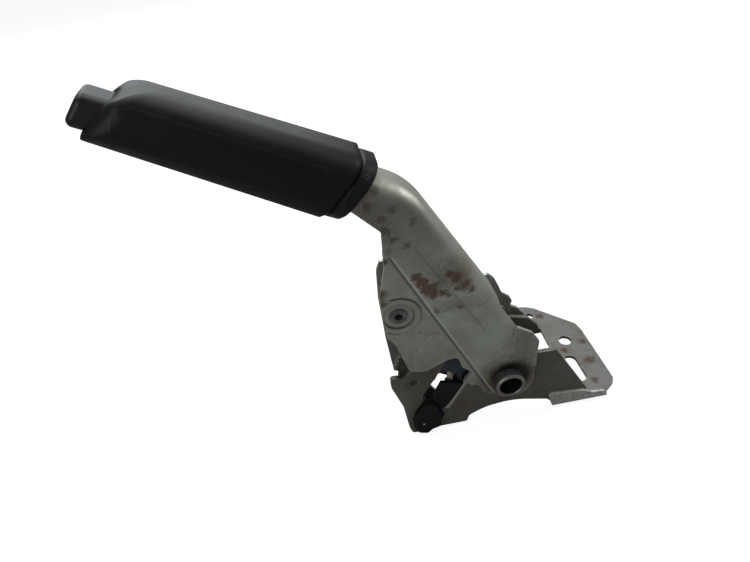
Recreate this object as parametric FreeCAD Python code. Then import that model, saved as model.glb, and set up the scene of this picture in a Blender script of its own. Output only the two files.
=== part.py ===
# Handbrake lever with ratchet base, built from its pressed sheets, pins, pawl and moulded grip.
# Frame: origin on the pivot axis in the lever's middle plane, +Z up from the mounting flange,
# Y along the pivot axis (the bright tube rim faces -Y), -X towards the grip. Millimetres.
import FreeCAD
import Part
import math
import os

# Lever sheet and its widths across the pivot axis
lever_sheet = 2.0
beam_width = 26.0
cheek_step = 2.0            # how far the lower cheeks are pressed inwards of the beam's walls
shoulder_radius = 8.5       # rounding between the beam's web and its walls
running_gap = 0.4           # side play between the lever's cheeks and the base's cheeks

# Base sheets
base_sheet = 2.5

# Pivot
tube_outer = 18.0
tube_bore = 13.5
tube_proud = 6.0            # tube length beyond the near wall of the beam
tube_far_proud = 2.0
pivot_play = 0.05           # radial play of the tube in its bushes
bush_wall = 1.2
bush_flange = 1.7           # how far the bush's flange stands out round the tube
bush_side_play = 0.3

# Beam: straight stretch and handle stretch, each a line at a distance from the pivot
handle_tilt = 28.0          # degrees the handle's axis falls towards the rear
beam_angle = 120.0          # degrees from +X of the beam's straight stretch
beam_back = 25.6            # from the pivot axis to the beam's back
handle_back = 98.0          # from the pivot axis to the handle's back, square to the handle
handle_depth = 16.5
bend_radius = 40.0
handle_front = -215.0       # end of the pressed arm inside the grip, along the handle
web_end = 60.0              # where the web stops above the pivot, along the beam
slot_play = 1.0             # web slot beyond the base cheeks, each side
joggle_angle = 115.3        # degrees from +X of the crease between beam and lower cheeks
joggle_offset = 13.0        # from the pivot axis to that crease
joggle_top = 105.6
joggle_round = 1.4
end_radius = 16.9           # round end of the walls under the pivot
rear_edge = 17.2            # the walls' rear edge beside the pivot
ear_reach = 17.7            # the walls' rearmost point, above the pivot

# Pawl and its pin
pawl_pin_x = -62.4
pawl_pin_z = 64.8
pawl_pin_diameter = 8.0
pawl_pin_head = 9.4
pawl_pin_hollow = 4.5
pawl_pin_head_height = 0.9
pad_radius = 12.0           # raised pad round the pin
pad_height = 0.8
recess_radius = 8.4
recess_depth = 0.9
pawl_side_play = 0.2
pawl_hub_radius = 6.8
pawl_arm = 22.0             # pin to the rod's hook
pawl_tip_angle = 147.8      # where the pawl meets the sector, degrees from +X
pawl_tip_clearance = 0.3
pawl_spacer_wall = 1.4
pawl_spring_wire = 1.2
pawl_spring_pitch = 2.3
pawl_spring_turns = 2.5
pawl_spring_leg = 9.0

# Toothed sector
sector_thickness = 3.6
tooth_tip_radius = 70.5
tooth_depth = 2.2
tooth_pitch = 2.4           # degrees
tooth_count = 17
first_tooth = 164.6         # degrees from +X
sector_band = 16.3            # solid steel under the tooth roots
sector_start = 178.0
sector_end = 121.0
rivet_radius = 3.0
rivet_inset = 6.0             # the rivets' circle from the sector's inner edge
rivet_angles = (172.0, 150.0, 128.0)

# Button and rod
button_travel = 6.0
button_height = 15.6
button_width = 17.0
button_corner = 5.0
button_edge = 2.6
button_play = 0.35
button_proud = 8.5            # how far the button stands out of the grip's mouth
button_length = 28.4
button_level = 88.2
button_slant = 15.0
rod_diameter = 4.0
rod_level = 88.5
rod_bend_at = -128.0
rod_bend_radius = 20.0
hook_play = 0.25
rod_collar_radius = 5.0
rod_collar_length = 3.0
rod_collar_at = -204.0
spring_wire = 1.2
spring_radius = 4.3
spring_turns = 5
spring_sides = 5            # flats of the wire's section
rod_guide_at = -163.0
rod_guide_length = 8.0

# Saddle for the cable
guide_x = -2.5
guide_z = 40.5
guide_pin_radius = 2.6
guide_groove_radius = 3.8
guide_rim_radius = 5.2
guide_rim = 1.2
guide_half = 4.6

# Switch in the near base cheek
switch_near = -11.6
switch_far = 1.0
bracket_sheet = 1.6
plunger_x = -33.4
plunger_y = -2.4
plunger_radius = 1.8
plunger_foot = -17.0
plunger_length = 23.0
plunger_boss_wall = 1.6
plunger_boss_top = -3.0
plunger_travel = 2.0
socket_x = -55.0
socket_y = -5.0
socket_width = 7.0
socket_depth = 4.6
socket_height = 12.0
terminal_thickness = 0.8
terminal_width = 2.8
terminal_length = 5.0

# Grip and collar
grip_front_slant = 25.0     # the mouth leans back by this from square
grip_rear_slant = 16.0      # and the rear end by this
grip_front = -241.5
grip_rear = -140.5
grip_front_height = 27.6
grip_front_width = 29.0
grip_front_level = 90.2
grip_rear_height = 33.8
grip_rear_width = 33.6
grip_rear_level = 88.5
grip_corner = 11.5
grip_brow_radius = 24.0     # rounding of the mouth's top, chin and sides
grip_chin_radius = 4.5
grip_cheek_radius = 8.0
grip_heel_chamfer = 0.7
grip_play = 0.1
collar_groove = 1.6
collar_length = 7.4
collar_height = 31.6
collar_width = 31.2
collar_corner = 12.0
collar_groove_inset = 1.5
collar_level = 88.4
collar_edge = 0.9

# Rear flange
flange_top = -36.0
foot = -38.5                # underside of the near cheek and of the bolting plate
foot_low = -40.2            # the near cheek's lowest corner, under the switch
flange_far = 85.6
flange_left = 40.0
flange_right = 80.6
bolt_hole = 9.0
bolt_x = 64.6
bolt_y = 42.3
slot_x = 60.0
slot_width = 9.0
slot_near = 8.0
slot_far = 23.0
locating_hole = 6.0
locating_x = 49.6
locating_y = 73.7

# Derived stations across the pivot axis
beam_half = beam_width / 2
beam_inner = beam_half - lever_sheet
cheek_half = beam_half - cheek_step
cheek_inner = cheek_half - lever_sheet
base_half = cheek_inner - running_gap
base_inner = base_half - base_sheet
socket_foot = foot_low - 1.0
sector_near = -base_inner
sector_far = sector_near + sector_thickness
tube_radius = tube_outer / 2
tube_near_end = -beam_half - tube_proud
tube_far_end = beam_half + tube_far_proud
slot_half = base_half + slot_play
sector_inner = tooth_tip_radius - tooth_depth - sector_band
rivet_circle = sector_inner + rivet_inset
button_front = grip_front - button_proud
button_back = button_front + button_length


def vec(x, z, y=0.0):
    """A point named by its place in the side view, then its station across."""
    return FreeCAD.Vector(x, y, z)


def side_line(angle, distance):
    """A line of the side view: unit normal and distance from the pivot axis."""
    turn = math.radians(angle - 90.0)
    return math.cos(turn), math.sin(turn), distance


def cross(first, second):
    """Where two lines of the side view meet."""
    a, b, p = first
    c, d, q = second
    det = a * d - b * c
    return (p * d - b * q) / det, (a * q - p * c) / det


def on_circle(radius, degrees):
    turn = math.radians(degrees)
    return radius * math.cos(turn), radius * math.sin(turn)


def handle_point(along, level):
    """A side-view point from its place along the handle and its level across it."""
    turn = math.radians(handle_tilt)
    x = along * math.cos(turn) + level * math.sin(turn)
    z = -along * math.sin(turn) + level * math.cos(turn)
    return x, z


def corner_wire(corners, place):
    """Closed outline through corners (u, v, radius); place turns (u, v) into a point."""
    count = len(corners)
    starts = []
    ends = []
    middles = []
    for index in range(count):
        u, v, radius = corners[index]
        before = corners[index - 1]
        after = corners[(index + 1) % count]
        to_before = (before[0] - u, before[1] - v)
        to_after = (after[0] - u, after[1] - v)
        long_before = math.hypot(*to_before)
        long_after = math.hypot(*to_after)
        e1 = (to_before[0] / long_before, to_before[1] / long_before)
        e2 = (to_after[0] / long_after, to_after[1] / long_after)
        dot = max(-1.0, min(1.0, e1[0] * e2[0] + e1[1] * e2[1]))
        opening = math.acos(dot)
        if radius <= 0 or opening > math.pi - 0.001:
            starts.append((u, v))
            ends.append((u, v))
            middles.append(None)
            continue
        reach = radius / math.tan(opening / 2)
        reach = min(reach, 0.49 * long_before, 0.49 * long_after)
        true_radius = reach * math.tan(opening / 2)
        bisector = (e1[0] + e2[0], e1[1] + e2[1])
        size = math.hypot(*bisector)
        to_centre = math.hypot(reach, true_radius)
        near = (to_centre - true_radius) / size
        starts.append((u + e1[0] * reach, v + e1[1] * reach))
        ends.append((u + e2[0] * reach, v + e2[1] * reach))
        middles.append((u + bisector[0] * near, v + bisector[1] * near))
    edges = []
    for index in range(count):
        if middles[index] is not None:
            arc = Part.Arc(place(*starts[index]), place(*middles[index]), place(*ends[index]))
            edges.append(arc.toShape())
        start = place(*ends[index])
        end = place(*starts[(index + 1) % count])
        if start.distanceToPoint(end) > 0.0001:
            edges.append(Part.LineSegment(start, end).toShape())
    return Part.Wire(edges)


def side_plate(corners, y_from, y_to):
    """A flat sheet standing in the side view between two stations."""
    wire = corner_wire(corners, lambda x, z: vec(x, z, y_from))
    return Part.Face(wire).extrude(FreeCAD.Vector(0, y_to - y_from, 0))


def cross_pin(x, z, radius, y_from, y_to):
    """A round pin or hole along the pivot axis."""
    low = min(y_from, y_to)
    return Part.makeCylinder(radius, abs(y_to - y_from), vec(x, z, low), FreeCAD.Vector(0, 1, 0))


def handle_placement():
    turn = FreeCAD.Rotation(FreeCAD.Vector(0, 1, 0), handle_tilt)
    return FreeCAD.Placement(FreeCAD.Vector(0, 0, 0), turn)


def in_handle(shape):
    """Takes a shape drawn along the handle's own axes to its place."""
    placed = shape.copy()
    placed.Placement = handle_placement().multiply(placed.Placement)
    return placed


def rounded_section(along, level, height, width, corner):
    """A rounded rectangle square to the handle, in the handle's own axes."""
    half_w = width / 2
    half_h = height / 2
    corners = [(-half_w, -half_h, corner), (half_w, -half_h, corner),
               (half_w, half_h, corner), (-half_w, half_h, corner)]
    return corner_wire(corners, lambda y, n: FreeCAD.Vector(along, y, level + n))


def handle_bar(along_from, along_to, level, height, width, corner):
    """A straight bar of rounded section along the handle, in the handle's own axes."""
    face = Part.Face(rounded_section(along_from, level, height, width, corner))
    return face.extrude(FreeCAD.Vector(along_to - along_from, 0, 0))


def slant_cut(along, slant, reach=70.0):
    """All that lies in front of a slanted plane through the handle, in its own axes."""
    lean = math.tan(math.radians(slant))
    level = grip_rear_level
    points = [(along - reach * lean, level - reach), (along + reach * lean, level + reach),
              (along - 2 * reach, level + reach), (along - 2 * reach, level - reach)]
    wire = Part.makePolygon([FreeCAD.Vector(x, -reach, z) for x, z in points + points[:1]])
    return Part.Face(wire).extrude(FreeCAD.Vector(0, 2 * reach, 0))


# Lines of the side view that several pieces share
back_line = side_line(beam_angle, beam_back)
inner_back_line = side_line(beam_angle, beam_back - lever_sheet)
joggle_line = side_line(joggle_angle, -joggle_offset)
step_line = side_line(joggle_angle, -joggle_offset + lever_sheet)


def handle_line(level):
    turn = math.radians(handle_tilt)
    return math.sin(turn), math.cos(turn), level


def upright_line(x):
    return 1.0, 0.0, x


def level_line(z):
    return 0.0, 1.0, z


def beam_outline():
    """Side view of the beam from the handle's end to the round foot at the pivot."""
    bend = cross(handle_line(handle_back), back_line)
    foot_left = cross(joggle_line, level_line(-end_radius))
    crease_top = cross(joggle_line, level_line(joggle_top))
    handle_low = handle_back - handle_depth
    return [
        handle_point(handle_front, handle_back) + (0,),
        bend + (bend_radius,),
        cross(back_line, upright_line(rear_edge)) + (0,),
        (end_radius, -end_radius, end_radius),
        foot_left + (end_radius * 0.7,),
        crease_top + (0,),
        (-67.1, joggle_top, 0),
        (-66.8, 120.4, 3.0),
        handle_point(-134.0, handle_low) + (4.0,),
        handle_point(handle_front, handle_low) + (0,),
    ]


def beam_cavity():
    """The open inside of the pressed channel."""
    inner_back = handle_back - lever_sheet
    open_low = handle_back - handle_depth - 20.0
    bend = cross(handle_line(inner_back), inner_back_line)
    beam = [
        handle_point(handle_front - 1, inner_back) + (0,),
        bend + (bend_radius - lever_sheet,),
        cross(inner_back_line, level_line(-40.0)) + (0,),
        cross(step_line, level_line(-40.0)) + (0,),
        cross(step_line, level_line(joggle_top + lever_sheet)) + (0,),
        (-90.0, joggle_top + lever_sheet, 0),
        handle_point(-134.0, open_low) + (0,),
        handle_point(handle_front - 1, open_low) + (0,),
    ]
    wide = side_plate(beam, -beam_inner, beam_inner)
    wide = round_back(wide, shoulder_radius - lever_sheet, inner_back, inner_back_line)
    narrow = [
        cross(inner_back_line, level_line(joggle_top + 8.0)) + (0,),
        cross(inner_back_line, level_line(-40.0)) + (0,),
        cross(step_line, level_line(-40.0)) + (0,),
        (-90.0, -40.0, 0),
        (-90.0, joggle_top + 8.0, 0),
    ]
    return wide.fuse(side_plate(narrow, -cheek_inner, cheek_inner))


def round_back(block, radius, level, line):
    """Rounds the two long shoulders that run along the back of the arm."""
    chosen = []
    for edge in block.Edges:
        middle = edge.valueAt((edge.FirstParameter + edge.LastParameter) / 2)
        ends = [vertex.Point for vertex in edge.Vertexes]
        if len(ends) < 2 or abs(ends[0].y - ends[1].y) > 0.01:
            continue
        on_handle = abs(line_gap(handle_line(level), middle)) < 0.05
        on_beam = abs(line_gap(line, middle)) < 0.05
        is_bend = edge.Curve.TypeId == "Part::GeomCircle" and edge.Curve.Radius > 30
        if on_handle or on_beam or is_bend:
            chosen.append(edge)
    return block.makeFillet(radius, chosen)


def line_gap(line, point):
    return line[0] * point.x + line[1] * point.z - line[2]


def near_cheek_outline():
    """Lower cheek on the rim's side: round the ratchet, then a tongue along the crease."""
    top = cross(joggle_line, level_line(joggle_top))
    low = cross(joggle_line, level_line(-13.0))
    return [
        (top[0] + 1.0, top[1], 0),
        (low[0] + 1.0, low[1], 0),
        (-10.5, -13.0, 2.0),
        (-14.2, -9.4, 3.0),
        (-18.0, -1.6, 2.5),
        (-22.0, -1.6, 2.5),
        (-26.0, 2.8, 2.0),
        (-22.4, 11.2, 1.0),
        (-27.8, 15.8, 5.0),
        (-30.2, 25.2, 3.0),
        (-36.5, 24.6, 6.0),
        (-49.5, 18.4, 7.0),
        (-59.0, 20.4, 3.5),
        (-62.6, 33.0, 10.0),
        (-65.2, 43.0, 10.0),
        (-69.8, 51.0, 4.0),
        (-71.4, 78.1, 12.0),
        (-67.1, 98.0, 10.0),
        (-67.1, top[1], 0),
    ]


def far_cheek_outline():
    """Lower cheek on the flange's side, which reaches further down beside the sector."""
    top = cross(joggle_line, level_line(joggle_top))
    low = cross(joggle_line, level_line(8.0))
    return [
        (top[0] + 1.0, top[1], 0),
        (low[0] + 1.0, low[1], 0),
        (-44.0, 5.0, 8.0),
        (-62.5, -1.0, 6.0),
        (-67.0, 8.0, 4.0),
        (-68.9, 30.0, 10.0),
        (-70.4, 62.0, 10.0),
        (-69.6, 82.0, 10.0),
        (-63.6, 97.0, 10.0),
        (-63.6, top[1], 0),
    ]


def lever_arm():
    outer = side_plate(beam_outline(), -beam_half, beam_half)
    outer = round_back(outer, shoulder_radius, handle_back, back_line)
    crease = []
    for edge in outer.Edges:
        ends = [vertex.Point for vertex in edge.Vertexes]
        if len(ends) < 2 or abs(abs(ends[0].y) - beam_half) > 0.01:
            continue
        if abs(ends[0].y - ends[1].y) > 0.01:
            continue
        if all(abs(line_gap(joggle_line, end)) < 0.05 for end in ends):
            crease.append(edge)
    outer = outer.makeFillet(joggle_round, crease)
    arm = outer.cut(beam_cavity())
    near = side_plate(near_cheek_outline(), -cheek_half, -cheek_inner)
    far = side_plate(far_cheek_outline(), cheek_inner, cheek_half)
    pad = cross_pin(pawl_pin_x, pawl_pin_z, pad_radius, -cheek_half - pad_height, -cheek_half)
    apron = side_plate([
        (pawl_pin_x - 14.0, pawl_pin_z + pad_radius, 0),
        (pawl_pin_x, pawl_pin_z + pad_radius, 0),
        (pawl_pin_x + pad_radius * 0.5, pawl_pin_z, 0),
        (pawl_pin_x + pad_radius * 0.42, pawl_pin_z - pad_radius * 0.9, 0),
        (pawl_pin_x - 14.0, pawl_pin_z - pad_radius * 1.35, 0),
    ], -cheek_half - pad_height, -cheek_half)
    clip = side_plate(near_cheek_outline(), -cheek_half - pad_height, -cheek_half)
    arm = arm.fuse([near, far, pad.fuse(apron).common(clip), teardrop()])
    arm = arm.cut(web_slot()).cut(far_neck_trim())
    arm = arm.fuse([near_wall_ear(), far_wall_ear()])
    arm = arm.cut(cross_pin(0, 0, tube_radius, -beam_width, beam_width))
    arm = arm.cut(cross_pin(pawl_pin_x, pawl_pin_z, pawl_pin_diameter / 2, -beam_width, beam_width))
    face = -cheek_half - pad_height
    arm = arm.cut(cross_pin(pawl_pin_x, pawl_pin_z, recess_radius, face - 1.0, face + recess_depth))
    return arm.removeSplitter()


def teardrop():
    """Shallow raised drop on the near cheek."""
    top_r = 3.1
    low_r = 5.0
    top = (-43.2, 44.5)
    low = (-51.8, 28.4)
    dx = low[0] - top[0]
    dz = low[1] - top[1]
    length = math.hypot(dx, dz)
    lean = math.asin((low_r - top_r) / length)
    heading = math.atan2(dz, dx)
    corners = []
    for centre, radius, side in ((top, top_r, 1), (low, low_r, 1), (low, low_r, -1), (top, top_r, -1)):
        turn = heading + side * (math.pi / 2 + lean)
        corners.append((centre[0] + radius * math.cos(turn), centre[1] + radius * math.sin(turn), 0))
    y0 = -cheek_half - 0.6
    body = side_plate(corners, y0, -cheek_half)
    for centre, radius in ((top, top_r), (low, low_r)):
        body = body.fuse(cross_pin(centre[0], centre[1], radius, y0, -cheek_half))
    return body


def near_wall_ear():
    """Flat rear edge of the near wall beside the pivot, where the web is cut away."""
    outline = [(4.0, 42.0, 0), (13.0, 35.8, 3.0), (ear_reach, 28.2, 2.5), (rear_edge, 20.0, 5.0),
               (rear_edge, 8.0, 0), (8.0, 10.0, 0), (0.0, 24.0, 0)]
    return side_plate(outline, -beam_half, -beam_inner)


def far_wall_ear():
    """Rear edge of the far wall, which stands out in two humps beside the slot."""
    outline = [(-12.0, 62.0, 0), (-6.6, 65.0, 2.0), (-2.2, 60.4, 4.0), (0.6, 54.0, 5.0),
               (2.4, 48.6, 3.0), (7.6, 44.4, 1.5), (9.2, 41.0, 1.5), (7.8, 37.6, 1.5),
               (13.0, 34.4, 3.0), (ear_reach, 28.2, 2.5), (rear_edge, 20.0, 5.0),
               (rear_edge, 8.0, 0), (8.0, 10.0, 0), (-6.0, 46.0, 0)]
    return side_plate(outline, beam_inner, beam_half)


def far_neck_trim():
    """The far wall starts further back than the near one where the arm leaves the beam."""
    return side_plate([(-80.0, 88.0, 0), (-63.6, 88.0, 0), (-63.6, 117.0, 3.0), (-80.0, 122.0, 0)],
                      beam_half - shoulder_radius, beam_half + 1.0)


def web_slot():
    """Round-ended opening in the beam's back, where the base's cheeks and the pull come through."""
    outward = 20.0
    deep = outward + shoulder_radius
    block = Part.makeBox(90.0, 2 * slot_half, deep, FreeCAD.Vector(-90.0, -slot_half, -outward))
    block = block.fuse(Part.makeCylinder(slot_half, deep, FreeCAD.Vector(0, 0, -outward)))
    block.rotate(FreeCAD.Vector(0, 0, 0), FreeCAD.Vector(0, 1, 0), -beam_angle)
    lean = math.radians(beam_angle)
    start = cross(back_line, (math.cos(lean), math.sin(lean), web_end - slot_half))
    block.translate(vec(*start))
    return block


def cable_guide():
    """Grooved saddle between the walls, round which the brake cable's end is hooked."""
    x = guide_x
    z = guide_z
    body = cross_pin(x, z, guide_pin_radius, -beam_inner, beam_inner)
    body = body.fuse(cross_pin(x, z, guide_groove_radius, -guide_half, guide_half))
    for side in (-1, 1):
        body = body.fuse(cross_pin(x, z, guide_rim_radius, side * (guide_half - guide_rim), side * guide_half))
    return body.common(beam_cavity()).removeSplitter()


def pivot_tube():
    body = cross_pin(0, 0, tube_radius, tube_near_end, tube_far_end)
    body = body.cut(cross_pin(0, 0, tube_bore / 2, tube_near_end - 1, tube_far_end + 1))
    rims = [edge for edge in body.Edges if abs(edge.BoundBox.YMin - tube_near_end) < 0.01
            and edge.BoundBox.YLength < 0.01]
    return body.makeChamfer(0.6, rims)


def pivot_bush(side):
    """Moulded bush in a base cheek, with a flange towards the lever's wall."""
    sleeve_radius = tube_radius + bush_wall
    flange_end = beam_inner - bush_side_play
    body = cross_pin(0, 0, sleeve_radius, side * base_inner, side * base_half)
    flange = cross_pin(0, 0, tube_radius + bush_flange, side * base_half, side * flange_end)
    bore = cross_pin(0, 0, tube_radius + pivot_play, -beam_half, beam_half)
    return body.fuse(flange).cut(bore).removeSplitter()


def base_front():
    """Left and lower edges of the near base cheek, from its top left corner round."""
    return [
        (-70.7, 14.4, 1.5),
        (-70.9, 7.0, 10.0),
        (-64.8, -12.5, 8.0),
        (-62.4, -33.0, 10.0),
        (-60.4, foot_low, 2.5),
        (-52.0, foot_low, 3.0),
        (-45.0, foot, 3.0),
        (-24.2, foot, 1.2),
        (-22.6, -33.0, 4.0),
        (-12.0, -27.6, 30.0),
        (6.0, -25.4, 60.0),
        (29.7, -31.9, 4.0),
    ]


def ratchet_crown():
    """Upper edge that both base cheeks share, from the pivot's lobe over the sector."""
    return [
        (10.0, 24.0, 8.0),
        (-9.0, 26.0, 8.0),
        (-24.0, 47.0, 10.0),
        (-36.5, 50.0, 8.0),
        (-52.0, 32.5, 12.0),
        (-58.2, 18.6, 2.0),
    ]


def base_near_cheek():
    """Near cheek with the ledge, the steep rear edge and the window for the switch."""
    outline = base_front() + [
        (33.0, flange_top, 0),
        (64.0, flange_top, 0),
        (59.8, flange_top + 1.0, 2.0),
        (31.4, 13.3, 1.0),
        (17.0, 13.8, 4.0),
    ] + ratchet_crown() + [
        (-62.9, 11.4, 2.0),
        (-66.5, 14.4, 2.0),
    ]
    body = side_plate(outline, -base_half, -base_inner)
    return finish_base_cheek(body.cut(side_plate(switch_window(), -base_half - 1, -base_inner + 1)))


def switch_window():
    """Slanted window that the switch is clipped into."""
    return window_left() + [
        (-56.4, -37.0, 2.5), (-43.0, -36.6, 2.0), (-38.5, -26.8, 1.0), (-40.4, -22.0, 1.0),
        (-36.2, -18.4, 0.5), (-21.0, 8.0, 1.5), (-16.0, 18.0, 2.0), (-28.0, 27.0, 2.0), (-37.0, 22.0, 2.0),
    ]


def window_left():
    """The window's left edge, which the switch's lower end leans on."""
    return [(-43.3, 8.7, 3.0), (-52.2, -5.0, 2.0), (-52.5, -10.9, 2.0), (-57.9, -19.6, 3.0),
            (-60.2, -26.0, 4.0), (-59.4, -32.0, 3.0)]


def base_far_cheek():
    """Far cheek, a lobe round the pivot with a foot on the flange and a round opening."""
    body = side_plate([
        (17.8, 29.4, 3.0), (3.0, 34.0, 24.0),
    ] + ratchet_crown()[1:] + [
        (-62.0, 14.0, 2.0), (-62.0, 5.0, 4.0), (-57.0, -13.0, 8.0), (-52.0, foot, 3.0),
        (-24.2, foot, 1.2), (-22.6, -33.0, 4.0), (-12.0, -27.6, 20.0), (24.0, -29.0, 6.0),
        (33.0, flange_top, 0), (56.0, flange_top, 0), (50.0, -29.0, 6.0), (40.0, -18.0, 8.0),
        (30.0, -9.0, 6.0), (19.5, -3.0, 4.0), (19.5, 14.8, 2.0), (27.2, 14.6, 1.0),
        (27.6, 16.8, 1.0), (25.2, 19.4, 1.0), (24.8, 22.0, 1.5),
    ], base_inner, base_half)
    opening = side_plate([(-39.0, -4.0, 3.0), (-30.0, -10.0, 3.0), (-37.5, -27.0, 3.0), (-46.6, -11.4, 2.0)],
                         base_inner - 1, base_half + 1)
    return finish_base_cheek(body.cut(opening))


def finish_base_cheek(body):
    """Bush hole and rivet holes, alike in both cheeks."""
    body = body.cut(cross_pin(0, 0, tube_radius + bush_wall, -beam_half, beam_half))
    for angle in rivet_angles:
        x, z = on_circle(rivet_circle, angle)
        body = body.cut(cross_pin(x, z, rivet_radius, -beam_half, beam_half))
    return body


def toothed_sector():
    """Hardened sector with slanted ratchet teeth on its outer edge."""
    root = tooth_tip_radius - tooth_depth
    points = []
    for index in range(tooth_count + 1):
        angle = first_tooth - index * tooth_pitch
        points.append(on_circle(root, angle))
        if index < tooth_count:
            points.append(on_circle(tooth_tip_radius, angle - 0.12 * tooth_pitch))
            points.append(on_circle(tooth_tip_radius, angle - 0.30 * tooth_pitch))
    edges = []
    flat = [vec(x, z, sector_near) for x, z in points]
    for start, end in zip(flat, flat[1:]):
        edges.append(Part.LineSegment(start, end).toShape())
    last_tooth = first_tooth - tooth_count * tooth_pitch
    edges.append(sector_arc(root, last_tooth, sector_end))
    edges.append(sector_side(root, sector_inner, sector_end))
    edges.append(sector_arc(sector_inner, sector_end, sector_start))
    edges.append(sector_side(sector_inner, root - 2.0, sector_start))
    edges.append(sector_arc(root - 2.0, sector_start, first_tooth + 2.0))
    start = vec(*on_circle(root - 2.0, first_tooth + 2.0), sector_near)
    edges.append(Part.LineSegment(start, flat[0]).toShape())
    body = Part.Face(Part.Wire(edges)).extrude(FreeCAD.Vector(0, sector_thickness, 0))
    for angle in rivet_angles:
        x, z = on_circle(rivet_circle, angle)
        body = body.cut(cross_pin(x, z, rivet_radius, -beam_half, beam_half))
    return body


def sector_arc(radius, start, end):
    middle = (start + end) / 2
    ends = [vec(*on_circle(radius, angle), sector_near) for angle in (start, middle, end)]
    return Part.Arc(*ends).toShape()


def sector_side(start_radius, end_radius, angle):
    start = vec(*on_circle(start_radius, angle), sector_near)
    end = vec(*on_circle(end_radius, angle), sector_near)
    return Part.LineSegment(start, end).toShape()


def sector_rivets():
    """Flush rivets through both base cheeks and the sector."""
    pins = []
    for angle in rivet_angles:
        x, z = on_circle(rivet_circle, angle)
        pins.append(cross_pin(x, z, rivet_radius, -base_half, base_half))
    return Part.makeCompound(pins)


def rivet_spacers():
    """Tubes on the rivets that hold the far cheek off the sector."""
    tubes = []
    for angle in rivet_angles:
        x, z = on_circle(rivet_circle, angle)
        tube = cross_pin(x, z, rivet_radius + 1.8, sector_far, base_inner)
        tubes.append(tube.cut(cross_pin(x, z, rivet_radius, sector_far - 1, base_inner + 1)))
    return Part.makeCompound(tubes)


def rear_flange():
    """Plate for the bolts, with a lip turned up along the near cheek."""
    near = -base_half - base_sheet
    plan = [
        (flange_left, near, 0), (70.0, near, 1.5), (70.8, -8.8, 1.0), (72.0, -6.9, 1.0),
        (78.6, -2.0, 1.5), (flange_right, 1.6, 1.5), (flange_right, 50.0, 6.0), (79.2, 57.3, 4.0),
        (56.2, 81.3, 6.0), (51.5, 84.1, 4.0), (46.2, flange_far, 3.0), (41.5, 85.4, 2.0),
        (42.3, 77.0, 3.0), (52.2, 58.5, 4.0), (52.0, 38.6, 6.0), (flange_left, 26.0, 4.0),
    ]
    low = flange_top - base_sheet
    wire = corner_wire(plan, lambda x, y: FreeCAD.Vector(x, y, low))
    plate = Part.Face(wire).extrude(FreeCAD.Vector(0, 0, base_sheet))
    lip = side_plate([
        (28.6, -24.6, 2.0), (33.2, low, 1.5), (67.5, low, 2.0), (69.6, -35.5, 1.5), (68.2, -31.8, 1.0),
        (58.7, -30.6, 2.0), (52.8, -27.2, 3.0), (37.5, -25.4, 2.0),
    ], near, -base_half)
    body = plate.fuse(lip).removeSplitter()
    radius = base_sheet * 1.2
    corner = Part.makeBox(45.0, radius, radius, FreeCAD.Vector(30.0, near, low))
    bend = Part.makeCylinder(radius, 45.0, FreeCAD.Vector(30.0, near + radius, low + radius),
                             FreeCAD.Vector(1, 0, 0))
    body = body.cut(corner.cut(bend))
    up = FreeCAD.Vector(0, 0, 1)
    deep = base_sheet + 2
    for x, y, hole in ((bolt_x, bolt_y, bolt_hole), (locating_x, locating_y, locating_hole)):
        body = body.cut(Part.makeCylinder(hole / 2, deep, FreeCAD.Vector(x, y, low - 1), up))
    half = slot_width / 2
    slot = Part.makeBox(slot_width, slot_far - slot_near, deep,
                        FreeCAD.Vector(slot_x - half, slot_near, low - 1))
    for y in (slot_near, slot_far):
        slot = slot.fuse(Part.makeCylinder(half, deep, FreeCAD.Vector(slot_x, y, low - 1), up))
    return body.cut(slot)


def pawl():
    """Flat pawl with a hub, a finger to the teeth and an arm to the rod."""
    near = sector_near + pawl_side_play
    far = sector_far - pawl_side_play
    tip = on_circle(tooth_tip_radius + pawl_tip_clearance, pawl_tip_angle)
    hook = rod_hook()
    x = pawl_pin_x
    z = pawl_pin_z
    finger = [
        (tip[0], tip[1], 0), (tip[0] - 1.2, tip[1] + 0.6, 0), (x - 5.2, z - 15.0, 5.0), (x - 6.6, z, 0),
        (x + 6.6, z, 0), (x + 5.0, z - 12.0, 6.0),
    ]
    body = side_plate(finger, near, far)
    turn = math.radians(handle_tilt)
    across = (math.cos(turn) * 4.6, -math.sin(turn) * 4.6)
    arm = [
        (x - across[0], z - across[1], 0), (x + across[0], z + across[1], 0),
        (hook[0] + across[0], hook[1] + across[1], 0), (hook[0] - across[0], hook[1] - across[1], 0),
    ]
    body = body.fuse([side_plate(arm, near, far), cross_pin(hook[0], hook[1], 4.6, near, far),
                      cross_pin(x, z, pawl_hub_radius, -cheek_inner + 0.3, far)])
    body = body.cut(cross_pin(x, z, pawl_pin_diameter / 2 + pivot_play, -beam_half, beam_half))
    radius = rod_diameter / 2 + hook_play
    up = (math.sin(turn), math.cos(turn))
    slot = [
        (hook[0] - radius * math.cos(turn) - 0.6 * up[0], hook[1] + radius * math.sin(turn) - 0.6 * up[1], 0),
        (hook[0] + radius * math.cos(turn) - 0.6 * up[0], hook[1] - radius * math.sin(turn) - 0.6 * up[1], 0),
        (hook[0] + radius * math.cos(turn) + 1.1 * up[0], hook[1] - radius * math.sin(turn) + 1.1 * up[1], 0),
        (hook[0] - radius * math.cos(turn) + 1.1 * up[0], hook[1] + radius * math.sin(turn) + 1.1 * up[1], 0),
    ]
    body = body.cut(side_plate(slot, near - 1, far + 1))
    for shift in (-0.6, 1.1):
        body = body.cut(cross_pin(hook[0] + shift * up[0], hook[1] + shift * up[1], radius, near - 1, far + 1))
    return body.removeSplitter()


def rod_hook():
    turn = math.radians(handle_tilt)
    return pawl_pin_x + pawl_arm * math.sin(turn), pawl_pin_z + pawl_arm * math.cos(turn)


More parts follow.
